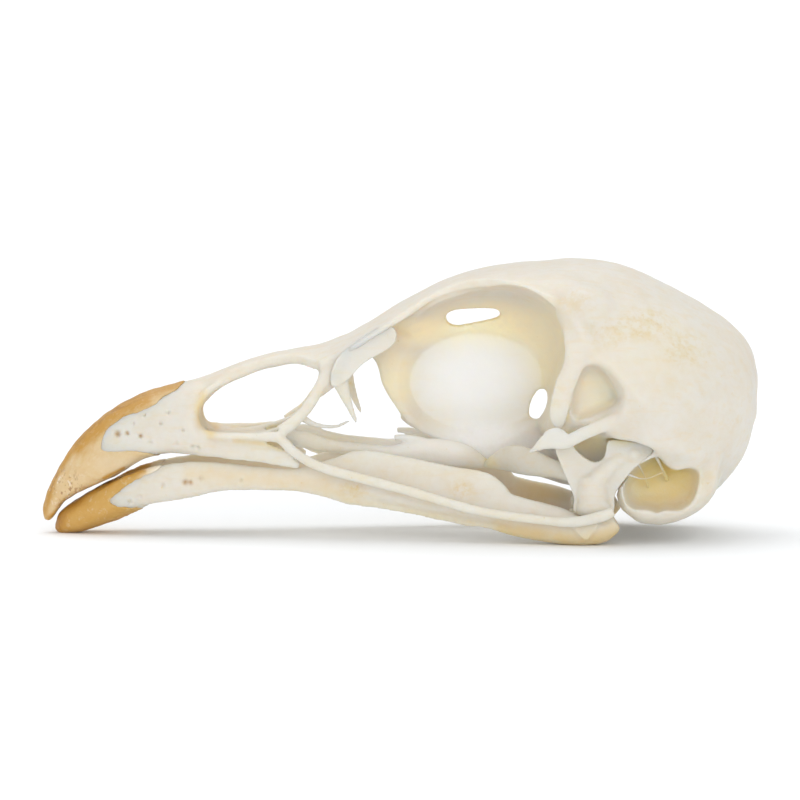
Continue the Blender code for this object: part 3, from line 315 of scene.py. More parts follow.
# Pits in the bill's bone: x, z and radius.
BEAK_PITS = (
    (-22.5, 8.15, 0.22), (-21.7, 8.25, 0.14), (-20.6, 8.05, 0.14), (-18.4, 9.95, 0.12),
    (-19.0, 9.1, 0.1), (-17.7, 7.5, 0.12), (-16.4, 7.2, 0.16), (-16.0, 7.15, 0.14),
    (-21.2, 9.0, 0.08), (-19.8, 7.6, 0.09), (-20.3, 9.7, 0.08), (-17.2, 8.6, 0.09),
)
JAW_PITS = (
    (-17.0, 4.4, 0.2), (-16.6, 4.4, 0.16), (-15.8, 4.7, 0.13), (-18.8, 4.1, 0.12),
    (-21.5, 2.7, 0.14), (-20.7, 3.2, 0.1), (-12.5, 4.6, 0.1),
)

# Temples, nostrils and ear cups: hollows with their tilt, and how far a hole has widened at each y.
TEMPLE_HOLLOWS = (
    (((15.8, 12.6, 12.2), (2.6, 3.4, 3.2)), -12),
    (((14.8, 11.0, 5.9), (4.6, 5.4, 3.6)), 20),
)
TEMPLE_STEPS = ((8.3, 0.3), (8.5, 0.72), (9.0, 0.9), (9.8, 1.0), (13.0, 1.08))
NARIS_STEPS = ((-0.01, 1.02), (1.5, 1.02), (3.0, 1.07), (3.9, 1.12), (4.8, 1.18), (6.0, 1.2))
EAR_STEPS = (
    (5.9, 0.2), (6.1, 0.55), (6.6, 0.8), (7.4, 0.93), (8.4, 1.0), (9.4, 1.05), (12.0, 1.15),
)
PALATE_HOLLOW = ((-12.2, 0, 7.1), (4.2, 2.6, 2.3))
JAW_HOLLOW = ((-18.4, 0, 3.2), (4.6, 2.1, 4.4))
TEMPLE_BOSS = ((14.8, 6.3, 16.9), (3.7, 3.1, 3.6))
EAR_BOSS = ((22.3, 6.4, 7.2), (2.6, 2.9, 4.2))
CONDYLE = ((23.9, 0, 3.3), (1.0, 1.0, 0.8))
FORAMEN_MAGNUM = tuple((x, 9.45, x, 4.2, 2.9, 0.5) for x in (18.0, 22.0, 26.0, 30.0))
FOREHEAD = (
    (-0.6, 17.6, -0.6, 15.8, 2.0, 0.7), (3.0, 19.6, 3.0, 14.5, 4.2, 0.8),
    (7.0, 21.0, 7.0, 13.5, 4.9, 0.8), (10.5, 21.6, 10.5, 12.0, 7.0, 0.8),
    (12.8, 21.8, 12.8, 11.5, 7.8, 0.78), (15.4, 21.4, 15.4, 12.0, 7.4, 0.75),
    (18.0, 20.5, 18.0, 12.5, 6.2, 0.72),
)

# Ridges, or furrows where the height is below zero: a line in x and z, its width and height.
SKULL_RIDGES = (
    (((13.6, 18.6), (15.5, 15.6), (17.9, 13.2), (19.6, 11.6)), 0.5, 0.14),
    (((19.8, 8.4), (22.5, 7.8), (23.8, 7.2)), 0.9, 0.26),
    (((-15.2, 7.75), (-12.0, 7.6), (-9.4, 7.2)), 0.22, -0.09),
)
JAW_RIDGES = (
    (((-4.2, 4.2), (-0.9, 3.55), (2.75, 2.8), (9.8, 1.75)), 0.35, 0.14),
    (((-1.6, 3.1), (1.4, 2.5), (4.8, 1.95), (8.6, 1.4)), 0.24, -0.12),
)

# Unevenness of each surface: height, size of its bumps and seed; and the seed of flaky edges.
SKULL_RELIEF = ((0.05, 1.7, 1), (0.015, 0.6, 6))
JAW_RELIEF = ((0.05, 1.5, 3), (0.015, 0.6, 7))
UPPER_HORN_RELIEF = ((0.05, 0.8, 2),)
LOWER_HORN_RELIEF = ((0.05, 0.8, 4),)
SMALL_BONE_BUMPS = (0.03, 0.9)
SEED_STEP = (7.3, 3.1, 5.7)
EDGE_SEED = 5

# Stains on the side of the photograph: place, reach and strength.
STAINS = (
    ((14.3, -9, 19.4), (2.2, 6, 1.6), 0.5),
    ((16.6, -9, 16.8), (2.4, 6, 1.8), 0.5),
    ((19.6, -9, 17.6), (3.4, 6, 2.0), 0.75),
    ((22.8, -9, 15.6), (3.0, 6, 2.2), 0.6),
    ((26.3, -5, 9.8), (1.4, 4, 1.4), 0.45),
    ((-3.5, -5.5, 3.9), (1.6, 2, 1.3), 1.0),
    ((5.2, -7, 4.3), (1.6, 2, 1.1), 0.8),
)

# Lines in x and z that a colour follows, with their width and strength: straw on the jaw, whose
# first line is painted shade under the edge of the upper jaw, straw round the nostrils, and the dark,
# worn edges of the two sheaths, with painted shade along the lower one's bottom edge.
JAW_STRAW = (
    # painted shade along the jaw under the edge of the upper jaw
    (((-16.5, 5.1), (-12.7, 4.9), (-7.8, 4.5), (-5.7, 4.1)), 0.8, 0.45),
    (((-5.7, 4.2), (-3.9, 3.1), (-0.1, 2.5), (4.0, 1.8), (8.4, 1.1)), 0.4, 0.4),
    (((8.4, 1.0), (12.3, 0.5), (15.0, 0.2), (17.4, 0.9)), 0.9, 1.1),
)
SKULL_STRAW = (
    (((-15.6, 11.3), (-16.0, 10.1), (-15.8, 9.1), (-14.9, 8.3)), 0.35, 0.9),
    (((-13.0, 7.8), (-10.6, 7.6), (-9.5, 7.25)), 0.18, 0.8),
)
CULMEN_DARK = (
    (((-28.7, 1.6), (-27.8, 4.6), (-26.0, 7.4)), 0.55, 0.8),
    (((-26.0, 7.4), (-23.5, 9.7), (-20.7, 11.2)), 1.15, 1.0),
    (((-20.7, 11.2), (-18.1, 12.0), (-16.4, 12.4)), 0.7, 0.7),
    (((-28.4, 0.9), (-27.6, 1.6), (-26.6, 2.8)), 0.3, 0.7),
    (((-23.6, 4.6), (-22.0, 5.4)), 0.18, 0.7),
)
BITE_DARK = (
    (((-27.7, 0.2), (-27.1, 1.9), (-25.8, 2.8)), 0.9, 1.0),
    (((-25.8, 2.8), (-24.6, 3.6), (-23.2, 4.3)), 0.5, 0.75),
    (((-23.2, 4.3), (-21.6, 4.9), (-20.3, 5.2)), 0.25, 0.6),
    # painted shade along the lower sheath's bottom edge, by the table
    (((-27.6, 0.2), (-25.6, 0.2), (-23.0, 1.0), (-20.8, 1.8)), 0.25, 0.5),
)

# Light: the white tent all round, and lamps with their strength, spread and direction.
TENT_LIGHT = 0.79
LAMPS = (
    ("soft_key", 0.85, 55, (-0.15, 0.3, 1.0)),
    ("soft_fill", 1.5, 70, (0.2, -1.0, 0.05)),
)
FLOOR = ((-3000, -3000, -20), (3000, 3000, 0))
PAPER_WHITE = (0.96, 0.98, 1, 1)
TENT_WHITE = (1, 1, 1, 1)


# Splines and closed forms

def spline(points, count, closed=False):
    """Evenly spaced points, count of them, of a smooth curve through these points."""
    known = [Vector(p) for p in points]
    spans = len(known) if closed else len(known) - 1
    found = []
    for i in range(count):
        at = i / (count if closed else count - 1) * spans
        k = min(int(at), spans - 1)
        t = at - k
        b, c = known[k], known[(k + 1) % len(known)]
        a = known[k - 1] if k or closed else b * 2 - c
        d = known[(k + 2) % len(known)] if k + 2 < len(known) or closed else c * 2 - b
        bow = a * 2 - b * 5 + c * 4 - d
        twist = b * 3 - a - c * 3 + d
        found.append((b * 2 + (c - a) * t + bow * t ** 2 + twist * t ** 3) / 2)
    return found


def new_object(bm):
    bmesh.ops.recalc_face_normals(bm, faces=bm.faces)
    mesh = bpy.data.meshes.new("form")
    bm.to_mesh(mesh)
    bm.free()
    obj = bpy.data.objects.new("form", mesh)
    bpy.context.scene.collection.objects.link(obj)
    return obj


def loft(rings):
    """A closed form through rings of points, each with as many points, capped at both ends."""
    bm = bmesh.new()
    made = [[bm.verts.new(p) for p in ring] for ring in rings]
    sides = len(made[0])
    for low, high in zip(made, made[1:]):
        for i in range(sides):
            j = (i + 1) % sides
            bm.faces.new((low[i], low[j], high[j], high[i]))
    for ring in (made[0], made[-1]):
        middle = bm.verts.new(sum((v.co for v in ring), Vector()) / sides)
        for i in range(sides):
            bm.faces.new((ring[i], ring[(i + 1) % sides], middle))
    return new_object(bm)


def bent(value, power):
    return math.copysign(abs(value) ** (2 / power), value)


def body(stations, steps, above=2.1, below=2.1, sides=64):
    """A form along X with superellipse sections, rounder or squarer above and below."""
    rings = []
    for top_x, top_z, low_x, low_z, half, waist in spline(stations, steps):
        top = Vector((top_x, 0, top_z))
        low = Vector((low_x, 0, low_z))
        middle = low.lerp(top, waist)
        ring = []
        for i in range(sides):
            turn = 2 * math.pi * i / sides
            power, end = (above, top) if math.sin(turn) >= 0 else (below, low)
            point = middle.lerp(end, abs(bent(math.sin(turn), power)))
            ring.append(point + Vector((0, half * bent(math.cos(turn), power), 0)))
        rings.append(ring)
    return loft(rings)


def sheet(stations, steps, rim=0.36, lanes=24):
    """An arched sheet along X, whose edge has rim times its thickness."""
    rings = []
    for x, top, half, drop, thick in spline(stations, steps):
        across = [-1 + 2 * i / lanes for i in range(lanes + 1)]
        upper = [(x, half * u, top - drop * u * u) for u in across]
        lower = [
            (x, half * u * 0.98, top - drop * u * u - thick * (1 - (1 - rim) * u * u))
            for u in reversed(across)
        ]
        rings.append(upper + lower)
    return loft(rings)


def rod(stations, steps=48, side=1, grow=0.0, sides=20):
    """A bent bar, thicker all round by grow."""
    found = spline(stations, steps)
    rings = []
    for i, station in enumerate(found):
        along = Vector(found[min(i + 1, steps - 1)][:3]) - Vector(found[max(i - 1, 0)][:3])
        along.normalize()
        across = (Vector((0, 1, 0)) - along * along.y).normalized()
        up = along.cross(across)
        ring = []
        for k in range(sides):
            turn = 2 * math.pi * k / sides
            point = Vector(station[:3]) + across * (station[3] + grow) * math.cos(turn)
            point += up * (station[4] + grow) * math.sin(turn)
            ring.append((point.x, point.y * side, point.z))
        rings.append(ring)
    return loft(rings)


def ball(centre, radii, side=1, grow=0.0, tilt=0.0, rings=24):
    """An ellipsoid, turned by tilt degrees about Y and larger all round by grow."""
    bm = bmesh.new()
    bmesh.ops.create_uvsphere(bm, u_segments=rings * 2, v_segments=rings, radius=1)
    place = Matrix.Translation((centre[0], centre[1] * side, centre[2]))
    turn = Matrix.Rotation(math.radians(tilt), 4, "Y")
    size = Matrix.Diagonal((*(r + grow for r in radii), 1))
    bmesh.ops.transform(bm, matrix=place @ turn @ size, verts=bm.verts)
    return new_object(bm)


def block(low, high):
    """A box from its lowest corner to its highest."""
    bm = bmesh.new()
    bmesh.ops.create_cube(bm, size=1)
    for vert in bm.verts:
        vert.co = [low[i] if vert.co[i] < 0 else high[i] for i in range(3)]
    return new_object(bm)


def plate(outline, faces, side=1, count=0, grow=0.0):
    """An outline in X and Z, smoothed through count points if given, between two faces in y."""
    low, high = (side * y for y in faces)
    edge = [Vector(p) for p in (spline(outline, count, closed=True) if count else outline)]
    size = len(edge)
    area = sum(edge[i - 1].cross(edge[i]) for i in range(size))
    bm = bmesh.new()
    ring = []
    for i, point in enumerate(edge):
        run = (edge[(i + 1) % size] - edge[i - 1]).normalized()
        out = Vector((run.y, -run.x)) * math.copysign(grow, area)
        ring.append(bm.verts.new((point.x + out.x, low, point.y + out.y)))
    pushed = bmesh.ops.extrude_face_region(bm, geom=[bm.faces.new(ring)])
    moved = [v for v in pushed["geom"] if isinstance(v, bmesh.types.BMVert)]
    bmesh.ops.translate(bm, vec=(0, high - low, 0), verts=moved)
    return new_object(bm)


# Joining, cutting and finishing

def apply_modifiers(obj):
    graph = bpy.context.evaluated_depsgraph_get()
    made = bpy.data.meshes.new_from_object(obj.evaluated_get(graph), depsgraph=graph)
    old = obj.data
    obj.modifiers.clear()
    obj.data = made
    bpy.data.meshes.remove(old)


def combine(obj, others, operation):
    """One Boolean with a collection of closed forms, which are then removed."""
    group = bpy.data.collections.new("operands")
    for other in others:
        group.objects.link(other)
    step = obj.modifiers.new("combine", "BOOLEAN")
    step.operation = operation
    step.operand_type = "COLLECTION"
    step.collection = group
    step.solver = "MANIFOLD"
    apply_modifiers(obj)
    for other in others:
        bpy.data.objects.remove(other)
    bpy.data.collections.remove(group)
    return obj


def unite(forms):
    return combine(forms[0], forms[1:], "UNION") if len(forms) > 1 else forms[0]


def cut(obj, cutters):
    return combine(obj, cutters, "DIFFERENCE")


# Measures of a surface, and relief on it

def rows_of(elements, label, size, kind=float):
    found = np.empty(len(elements) * size, dtype=kind)
    elements.foreach_get(label, found)
    return found.reshape(-1, size)


def points_of(mesh):
    return rows_of(mesh.vertices, "co", 3)


def normals_of(mesh):
    return rows_of(mesh.vertices, "normal", 3)


def edges_of(mesh):
    return rows_of(mesh.edges, "vertices", 2, np.int32)


def tree_of(mesh):
    return BVHTree.FromPolygons([v.co for v in mesh.vertices], [p.vertices for p in mesh.polygons])


def thickness(mesh):
    """How far it is to the other face of the bone under each vertex."""
    tree = tree_of(mesh)
    found = np.full(len(mesh.vertices), DEEPEST)
    for i, vert in enumerate(mesh.vertices):
        reach = tree.ray_cast(vert.co - vert.normal * INSIDE, -vert.normal, DEEPEST)[3]
        if reach is not None:
            found[i] = reach
    return found


def shelter(mesh, reach=3.2, rays=12):
    """How far each vertex lies in a hollow: the share of rays that meet bone within reach."""
    tree = tree_of(mesh)
    chance = np.random.default_rng(11)
    turn = chance.random(rays) * 2 * math.pi
    rise = np.sqrt((np.arange(rays) + 0.5) / rays)
    flat = np.sqrt(1 - rise ** 2)
    fan = np.stack((np.cos(turn) * flat, np.sin(turn) * flat, rise), 1)
    points, normals = points_of(mesh), normals_of(mesh)
    side = np.cross(normals, np.where(np.abs(normals[:, :1]) < 0.7, (1, 0, 0), (0, 1, 0)))
    side /= np.maximum(np.linalg.norm(side, axis=1, keepdims=True), 1e-6)
    other = np.cross(normals, side)
    starts = (points + normals * OUTSIDE).tolist()
    blocked = np.zeros(len(points))
    for ray in fan:
        ways = (side * ray[0] + other * ray[1] + normals * ray[2]).tolist()
        for i, start in enumerate(starts):
            hit = tree.ray_cast(start, ways[i], reach)[3]
            if hit is not None:
                blocked[i] += 1 - hit / reach * 0.5
    return blocked / rays


def soften(mesh, values, times):
    """Evens out one value per vertex over its neighbours."""
    ends = edges_of(mesh)
    count = len(values)
    share = np.maximum(np.bincount(ends.ravel(), minlength=count), 1)
    for _ in range(times):
        near = np.bincount(ends[:, 0], values[ends[:, 1]], count)
        near += np.bincount(ends[:, 1], values[ends[:, 0]], count)
        values = (values + near / share) / 2
    return values


def store(mesh, name, values):
    mesh.attributes.new(name, "FLOAT", "POINT").data.foreach_set("value", values.astype(np.float32))


def push(mesh, heights):
    """Moves every vertex out along its normal by its own height."""
    points = points_of(mesh) + normals_of(mesh) * heights[:, None]
    mesh.vertices.foreach_set("co", points.ravel())
    mesh.update()


def relief(mesh, layers):
    """An uneven surface: layers of bumps, each with its height, size and seed."""
    for height, size, seed in layers:
        away = Vector([seed * step for step in SEED_STEP])
        lumps = [noise.noise(Vector(p) / size + away) for p in points_of(mesh).tolist()]
        push(mesh, np.array(lumps) * height)


def far_from(mesh, line):
    """How far each vertex lies from a line in x and z, seen from the side."""
    flat = points_of(mesh)[:, (0, 2)]
    found = np.full(len(flat), 99.0)
    for start, end in zip(line, line[1:] or line):
        run = np.subtract(end, start)
        along = np.clip((flat - start) @ run / max(run @ run, 1e-9), 0, 1)
        found = np.minimum(found, np.linalg.norm(flat - start - along[:, None] * run, axis=1))
    return found


def traced(mesh, marks):
    """How strongly each vertex is marked by lines, each with its width and strength."""
    found = np.zeros(len(mesh.vertices))
    for line, width, strength in marks:
        found = np.maximum(found, strength * np.exp(-(far_from(mesh, line) / width) ** 2))
    return found


def dots(pits):
    """The marks of small pits, given by x, z and radius."""
    return [(((x, z),), radius, 1.0) for x, z, radius in pits]


def carve(mesh, ridges, pits, depth):
    """Raises ridges on both sides of a bone, and sinks pits into them."""
    outward = np.clip(normals_of(mesh)[:, 1] * np.sign(points_of(mesh)[:, 1]) * 2, 0, 1)
    heights = -depth * traced(mesh, dots(pits))
    for line, width, height in ridges:
        heights += height * traced(mesh, [(line, width, 1.0)])
    push(mesh, heights * outward)


def blend(obj, voxel=VOXEL, bulk_passes=0, passes=3, bulk=(0.9, 2.4)):
    """Fuses a bone on a fine grid and softens its seams, more where it is massive."""
    skin = obj.modifiers.new("skin", "REMESH")
    skin.mode = "VOXEL"
    skin.voxel_size = voxel
    apply_modifiers(obj)
    if bulk_passes:
        weight = np.clip((thickness(obj.data) - bulk[0]) / (bulk[1] - bulk[0]), 0, 1)
        group = obj.vertex_groups.new(name="bulk")
        for step in range(11):
            chosen = np.nonzero(np.round(weight * 10).astype(int) == step)[0]
            group.add(chosen.tolist(), step / 10, "REPLACE")
        soft = obj.modifiers.new("bulk", "SMOOTH")
        soft.iterations = bulk_passes
        soft.vertex_group = "bulk"
    soft = obj.modifiers.new("soft", "SMOOTH")
    soft.iterations = passes
    apply_modifiers(obj)
    obj.vertex_groups.clear()
    return obj


def thin_out(obj, name):
    """Fewer triangles where the surface is plain, if there are too many for this piece."""
    most = TRIANGLES.get(name.split("_")[0], OTHER_TRIANGLES)
    count = sum(len(p.vertices) - 2 for p in obj.data.polygons)
    if count > most:
        thin = obj.modifiers.new("thin", "DECIMATE")
        thin.ratio = most / count
        apply_modifiers(obj)


def copy_of(obj, mirrored=False):
    """A copy, on the other side of the sagittal plane if mirrored."""
    bm = bmesh.new()
    bm.from_mesh(obj.data)
    if mirrored:
        bmesh.ops.scale(bm, vec=(1, -1, 1), verts=bm.verts)
    return new_object(bm)


def largest_surface(obj):
    """Keeps the closed surface with the most points."""
    mesh = obj.data
    ends = edges_of(mesh)
    label = np.arange(len(mesh.vertices))
    settled = False
    while not settled:
        low = np.minimum(label[ends[:, 0]], label[ends[:, 1]])
        new = label.copy()
        np.minimum.at(new, ends[:, 0], low)
        np.minimum.at(new, ends[:, 1], low)
        new = new[new]
        settled = (new == label).all()
        label = new
    main = np.bincount(label).argmax()
    bm = bmesh.new()
    bm.from_mesh(mesh)
    bmesh.ops.delete(bm, geom=[v for v in bm.verts if label[v.index] != main], context="VERTS")
    bm.to_mesh(mesh)
    bm.free()
    return obj


# Skull: braincase, forehead, septum and upper jaw, which are grown together

def on_oval(centre, width, height, turn):
    return Vector((centre[0] + width * math.cos(turn), centre[1] + height * math.sin(turn)))


def orbit(side, count=96):
    """The room of one eye, from the septum's thin oval out past the rim."""
    rim = spline([(r, r) for r in ORBIT_RIM], count, closed=True)
    rings = []
    for step in ORBIT_STEPS:
        spread = math.sqrt(1 - (1 - max(step - ORBIT_STRAIGHT, 0) / (1 - ORBIT_STRAIGHT)) ** 2)
        ring = []
        for i in range(count):
            turn = 2 * math.pi * i / count
            inner = on_oval(*SEPTUM_OVAL, turn)
            outer = on_oval(ORBIT_CENTRE, rim[i][0], rim[i][0], turn)
            point = inner.lerp(outer, spread)
            ring.append((point.x, side * (SEPTUM_HALF + ORBIT_REACH * step), point.y))
        rings.append(ring)
    rings.append([(x, side * ORBIT_PAST, z) for x, y, z in rings[-1]])
    return loft(rings)


def funnel(outline, side, steps, count=60):
    """A hole along Y whose outline grows about its middle: steps of y and size."""
    edge = spline(outline, count, closed=True)
    middle = sum(edge, Vector((0, 0))) / len(edge)
    rings = []
    for y, size in steps:
        grown = [middle + (point - middle) * size for point in edge]
        rings.append([(p.x, side * y, p.y) for p in grown])
    return loft(rings)


def make_skull():
    whole = body(BRAINCASE, 60)
    hollows = [ball(*hollow, side, tilt=tilt) for hollow, tilt in TEMPLE_HOLLOWS for side in (1, -1)]
    hollows += [funnel(TEMPLE, side, TEMPLE_STEPS) for side in (1, -1)]
    cut(whole, hollows)
    beak = body(BEAK, 60, above=1.8, below=3.2)
    cut(beak, [ball(*PALATE_HOLLOW)] + [funnel(NARIS, side, NARIS_STEPS) for side in (1, -1)])
    forms = [whole, beak, sheet(ROOF, 60), sheet(NASAL, 40, rim=0.6), body(FOREHEAD, 30, below=1.2)]
    forms.append(plate(SEPTUM, SEPTUM_ROOT_FACES, count=90))
    forms.append(ball(*CONDYLE))
    forms.append(rod(ROSTRUM))
    forms.append(rod(SPICULE, side=-1))
    for side in (1, -1):
        forms += [rod(bar, 90, side) for bar in SKULL_BARS]
        forms += [ball(*boss, side) for boss in (TEMPLE_BOSS, EAR_BOSS)]
        forms.append(plate(NASAL_SIDE, NASAL_SIDE_FACES, side, count=40))
    unite(forms)
    cutters = [body(BRAIN, 40, above=2.2, below=1.8), body(FORAMEN_MAGNUM, 4, above=2.6, below=2.6)]
    cutters.append(plate(UPPER_WINDOW, UPPER_WINDOW_FACES, count=30))
    cutters.append(plate(OPTIC_WINDOW, OPTIC_WINDOW_FACES, count=24))
    for side in (1, -1):
        cutters.append(orbit(side))
        cutters.append(funnel(EAR_RIM, side, EAR_STEPS))
        cutters.append(ball(*OTIC_HEAD, side, grow=HEAD_ROOM))
        cutters.append(plate(QUADRATE, QUADRATE_SLOT, side, count=70, grow=SLOT_ROOM))
    cut(whole, cutters)
    unite([whole] + [rod(bar, 90, side) for bar in LATE_BARS for side in (1, -1)])
    blend(whole, bulk_passes=30)
    largest_surface(whole)
    return whole


def behind(outline, seed, rough=0.05, grow=0.0):
    """A plate over all that lies behind a line across the bill, whose front edge is flaky."""
    noise.seed_set(EDGE_SEED)
    front = []
    for point in spline(outline, 200):
        spot = Vector((point.x, point.y, seed * 9.1))
        front.append(point + (noise.noise_vector(spot) + noise.noise_vector(spot * 4)).xy * rough)
    below, above = FAR_CORNERS
    corners = ((front[-1].x, below[1]), below, above, (front[0].x, above[1]))
    return plate(front + [Vector(corner) for corner in corners], FAR_FACES, grow=grow)


def part_horn(bone, outline, proud, seed):
    """Cuts the horn's place off a bill bone, and gives the sheath that covers it."""
    horn = copy_of(bone)
    cut(horn, [behind(outline, seed)])
    largest_surface(horn)
    push(horn.data, np.full(len(horn.data.vertices), proud))
    combine(bone, [behind(outline, seed, grow=HORN_SEAM)], "INTERSECT")
    return horn


# Loose bones

def make_mandible():
    chin = body(CHIN, 40, above=2.6, below=2.2)
    forms = [cut(chin, [ball(*JAW_HOLLOW)])]
    for side in (1, -1):
        forms += [rod(bar, side=side) for bar in JAW_BARS]
        forms.append(plate(PENDANT, PENDANT_FACES, side, count=30))
    whole = unite(forms)
    cutters = [block(*BELOW_TABLE)]
    for side in (1, -1):
        cutters += [ball(*knob, side, grow=SOCKET_ROOM) for knob in (OUTER_CONDYLE, INNER_CONDYLE)]
    cut(whole, cutters)
    blend(whole, passes=4)
    return largest_surface(whole)


def make_quadrate():
    forms = [rod(bar) for bar in (OTIC_PROCESS, ORBITAL_PROCESS, QUADRATE_BODY)]
    forms += [ball(*OTIC_HEAD), ball(*OUTER_CONDYLE), ball(*INNER_CONDYLE)]
    forms.append(plate(QUADRATE, QUADRATE_FACES, count=70, grow=PLATE_SWELL))
    return blend(unite(forms), voxel=FINE_VOXEL, passes=6)


def make_lacrimal():
    whole = unite([plate(LACRIMAL, LACRIMAL_FACES, count=60), rod(LACRIMAL_SPIKE)])
    return blend(whole, voxel=FINE_VOXEL, passes=6)


def make_threads(side):
    """Fine threads of bone across the ear."""
    return unite([rod(thread, 30, side, sides=8) for thread in EAR_THREADS])


def make_bar(*bars):
    return blend(unite([rod(bar, 90) for bar in bars]), voxel=FINE_VOXEL, passes=3)


# Finishes

class Wire:
    """A value that varies over a surface; arithmetic on it adds the nodes that work it out."""

    def __init__(self, tree, socket=None):
        self.tree = tree
        self.socket = socket

    def node(self, kind, inputs, settings=(), output=0):
        """Adds a node, with its settings first and then its sockets' values or links."""
        made = self.tree.nodes.new(kind)
        for name, value in dict(settings).items():
            setattr(made, name, value)
        for name, value in dict(inputs).items():
            if isinstance(value, Wire):
                self.tree.links.new(value.socket, made.inputs[name])
            else:
                made.inputs[name].default_value = value
        return Wire(self.tree, made.outputs[output])

    def maths(self, operation, *terms):
        return self.node("ShaderNodeMath", enumerate(terms), {"operation": operation})

    def __add__(self, other):
        return self.maths("ADD", self, other)

    def __sub__(self, other):
        return self.maths("SUBTRACT", self, other)

    def __rsub__(self, other):
        return self.maths("SUBTRACT", other, self)

    def __mul__(self, other):
        return self.maths("MULTIPLY", self, other)

    __radd__ = __add__
    __rmul__ = __mul__

    def step(self, low, high):
        """0 below one value and 1 above the other, smooth between."""
        ends = {"From Min": low, "From Max": high, "Value": self}
        return self.node("ShaderNodeMapRange", ends, {"interpolation_type": "SMOOTHSTEP"})

    def tint(self, first, second):
        """From the first colour at 0 to the second at 1."""
        return self.node("ShaderNodeMix", {0: self, 6: first, 7: second}, {"data_type": "RGBA"}, 2)

    def over(self, layers):
        """This colour under layers of others, each with the share that it covers."""
        colour = self
        for cover, tone in layers:
            colour = cover.tint(colour, tone)
        return colour

    def attribute(self, name):
        return self.node("ShaderNodeAttribute", {}, {"attribute_name": name}, "Fac")

    def place(self, stretch=(1, 1, 1)):
        """Object coordinates in millimetres, drawn out along an axis by a value below 1."""
        spot = self.node("ShaderNodeTexCoord", {}, output="Object")
        size = tuple(s / MM for s in stretch)
        return self.node("ShaderNodeVectorMath", {0: spot, 1: size}, {"operation": "MULTIPLY"})

    def noise(self, size, detail=3.0, rough=0.5, stretch=(1, 1, 1)):
        """Fractal noise about 0.5, with patches of a size in millimetres."""
        inputs = {"Vector": self.place(stretch), "Scale": 1 / size, "Detail": detail, "Roughness": rough}
        return self.node("ShaderNodeTexNoise", inputs, output="Fac")

    def near(self, centre, radii):
        """1 at a place in millimetres, falling to 0 at the radii round it."""
        away = self.node(
            "ShaderNodeVectorMath", {0: self.place(), 1: centre}, {"operation": "SUBTRACT"})
        scaled = self.node(
            "ShaderNodeVectorMath", {0: away, 1: tuple(1 / r for r in radii)}, {"operation": "MULTIPLY"})
        far = self.node("ShaderNodeVectorMath", {0: scaled}, {"operation": "LENGTH"}, "Value")
        return 1 - far.step(0.2, 1)

    def bump(self, height, depth):
        """The normal of a surface with this relief, whose depth is in millimetres."""
        return self.node("ShaderNodeBump", {"Height": height, "Distance": depth * MM, "Strength": 1.0})


def shade(red, green, blue):
    """A colour as a painter names it, 0 to 255, for a shader."""
    parts = [value / 255 for value in (red, green, blue)]
    return (*(p / 12.92 if p < 0.04045 else ((p + 0.055) / 1.055) ** 2.4 for p in parts), 1)


IVORY = shade(215, 211, 202)
CREAM = shade(213, 205, 189)
STRAW = shade(244, 230, 192)
HONEY = shade(225, 203, 136)
SAND = shade(216, 193, 146)
AMBER = shade(208, 182, 112)
NACRE = shade(217, 214, 207)
PAINTED_LIGHT_PEARL = shade(240, 239, 238)
OCHRE = shade(176, 138, 66)
UMBER = shade(150, 106, 62)
BROWN = shade(190, 142, 58)
EARTH = shade(140, 90, 28)
GOLD = shade(200, 158, 84)
FLESH = shade(214, 188, 144)
SKIN = shade(214, 198, 168)
CHALK = shade(236, 224, 204)

# Colours of places: middle, reach, strength and tone, the same on both sides. Many of them are
# painted light: warm shade and bounce light in the eye socket, temple, ear and round the quadrate,
# and light on the rostrum and palatines, which lie in shade.
TINTS_AND_PAINTED_LIGHT = (
    # painted warm shade and bounce light in the eye socket: its roof, front corner, the septum's front and
    # the rear wall
    ((7.2, 0, 17.0), (8.0, 5.2, 3.6), 0.9, STRAW),
    ((1.4, 1.6, 16.4), (3.4, 3.0, 1.9), 0.9, STRAW),
    ((-0.6, 0, 12.6), (2.6, 2.6, 5.0), 0.7, STRAW),
    ((12.4, 4, 14.4), (4.4, 7.4, 8.0), 0.7, STRAW),
    ((-15.9, 0, 10.2), (1.3, 3.4, 2.6), 0.8, STRAW),
    # painted warm shade in the temple's hollow
    ((15.8, 8.2, 11.9), (2.6, 1.8, 3.6), 0.4, STRAW),
    ((19.5, 9, 15.5), (7.5, 6, 5.5), 0.15, STRAW),
    # painted warm shade in the ear's cavity, deepest under its hood
    ((21.2, 6.0, 5.2), (5.0, 3.4, 3.6), 0.9, HONEY),
    ((21.8, 6.6, 6.6), (2.4, 2.4, 1.3), 0.8, AMBER),
    # painted bounce light in the opening between zygomatic and quadrate, and painted shade in the gap
    # above the quadrate's otic process
    ((14.9, 6.8, 8.4), (3.6, 2.6, 2.4), 1.0, STRAW),
    ((17.9, 7.6, 8.4), (1.8, 2.4, 0.9), 0.6, HONEY),
    ((7.6, 2.2, 6.0), (1.4, 1.8, 1.1), 0.8, HONEY),
    ((11.2, 6.6, 2.6), (3.8, 1.6, 1.8), 0.5, HONEY),
    ((-2.9, 4.9, 14.9), (3.4, 1.4, 2.8), 0.5, NACRE),
    ((12.8, 10.1, 8.8), (3.8, 0.9, 2.2), 0.7, NACRE),
    # painted light on the rostrum and palatines, which lie in shade
    ((6.8, 0, 7.4), (7.8, 2.6, 3.0), 1.0, PAINTED_LIGHT_PEARL),
    ((1.6, 3.1, 6.9), (6.6, 1.4, 2.0), 0.7, PAINTED_LIGHT_PEARL),
)

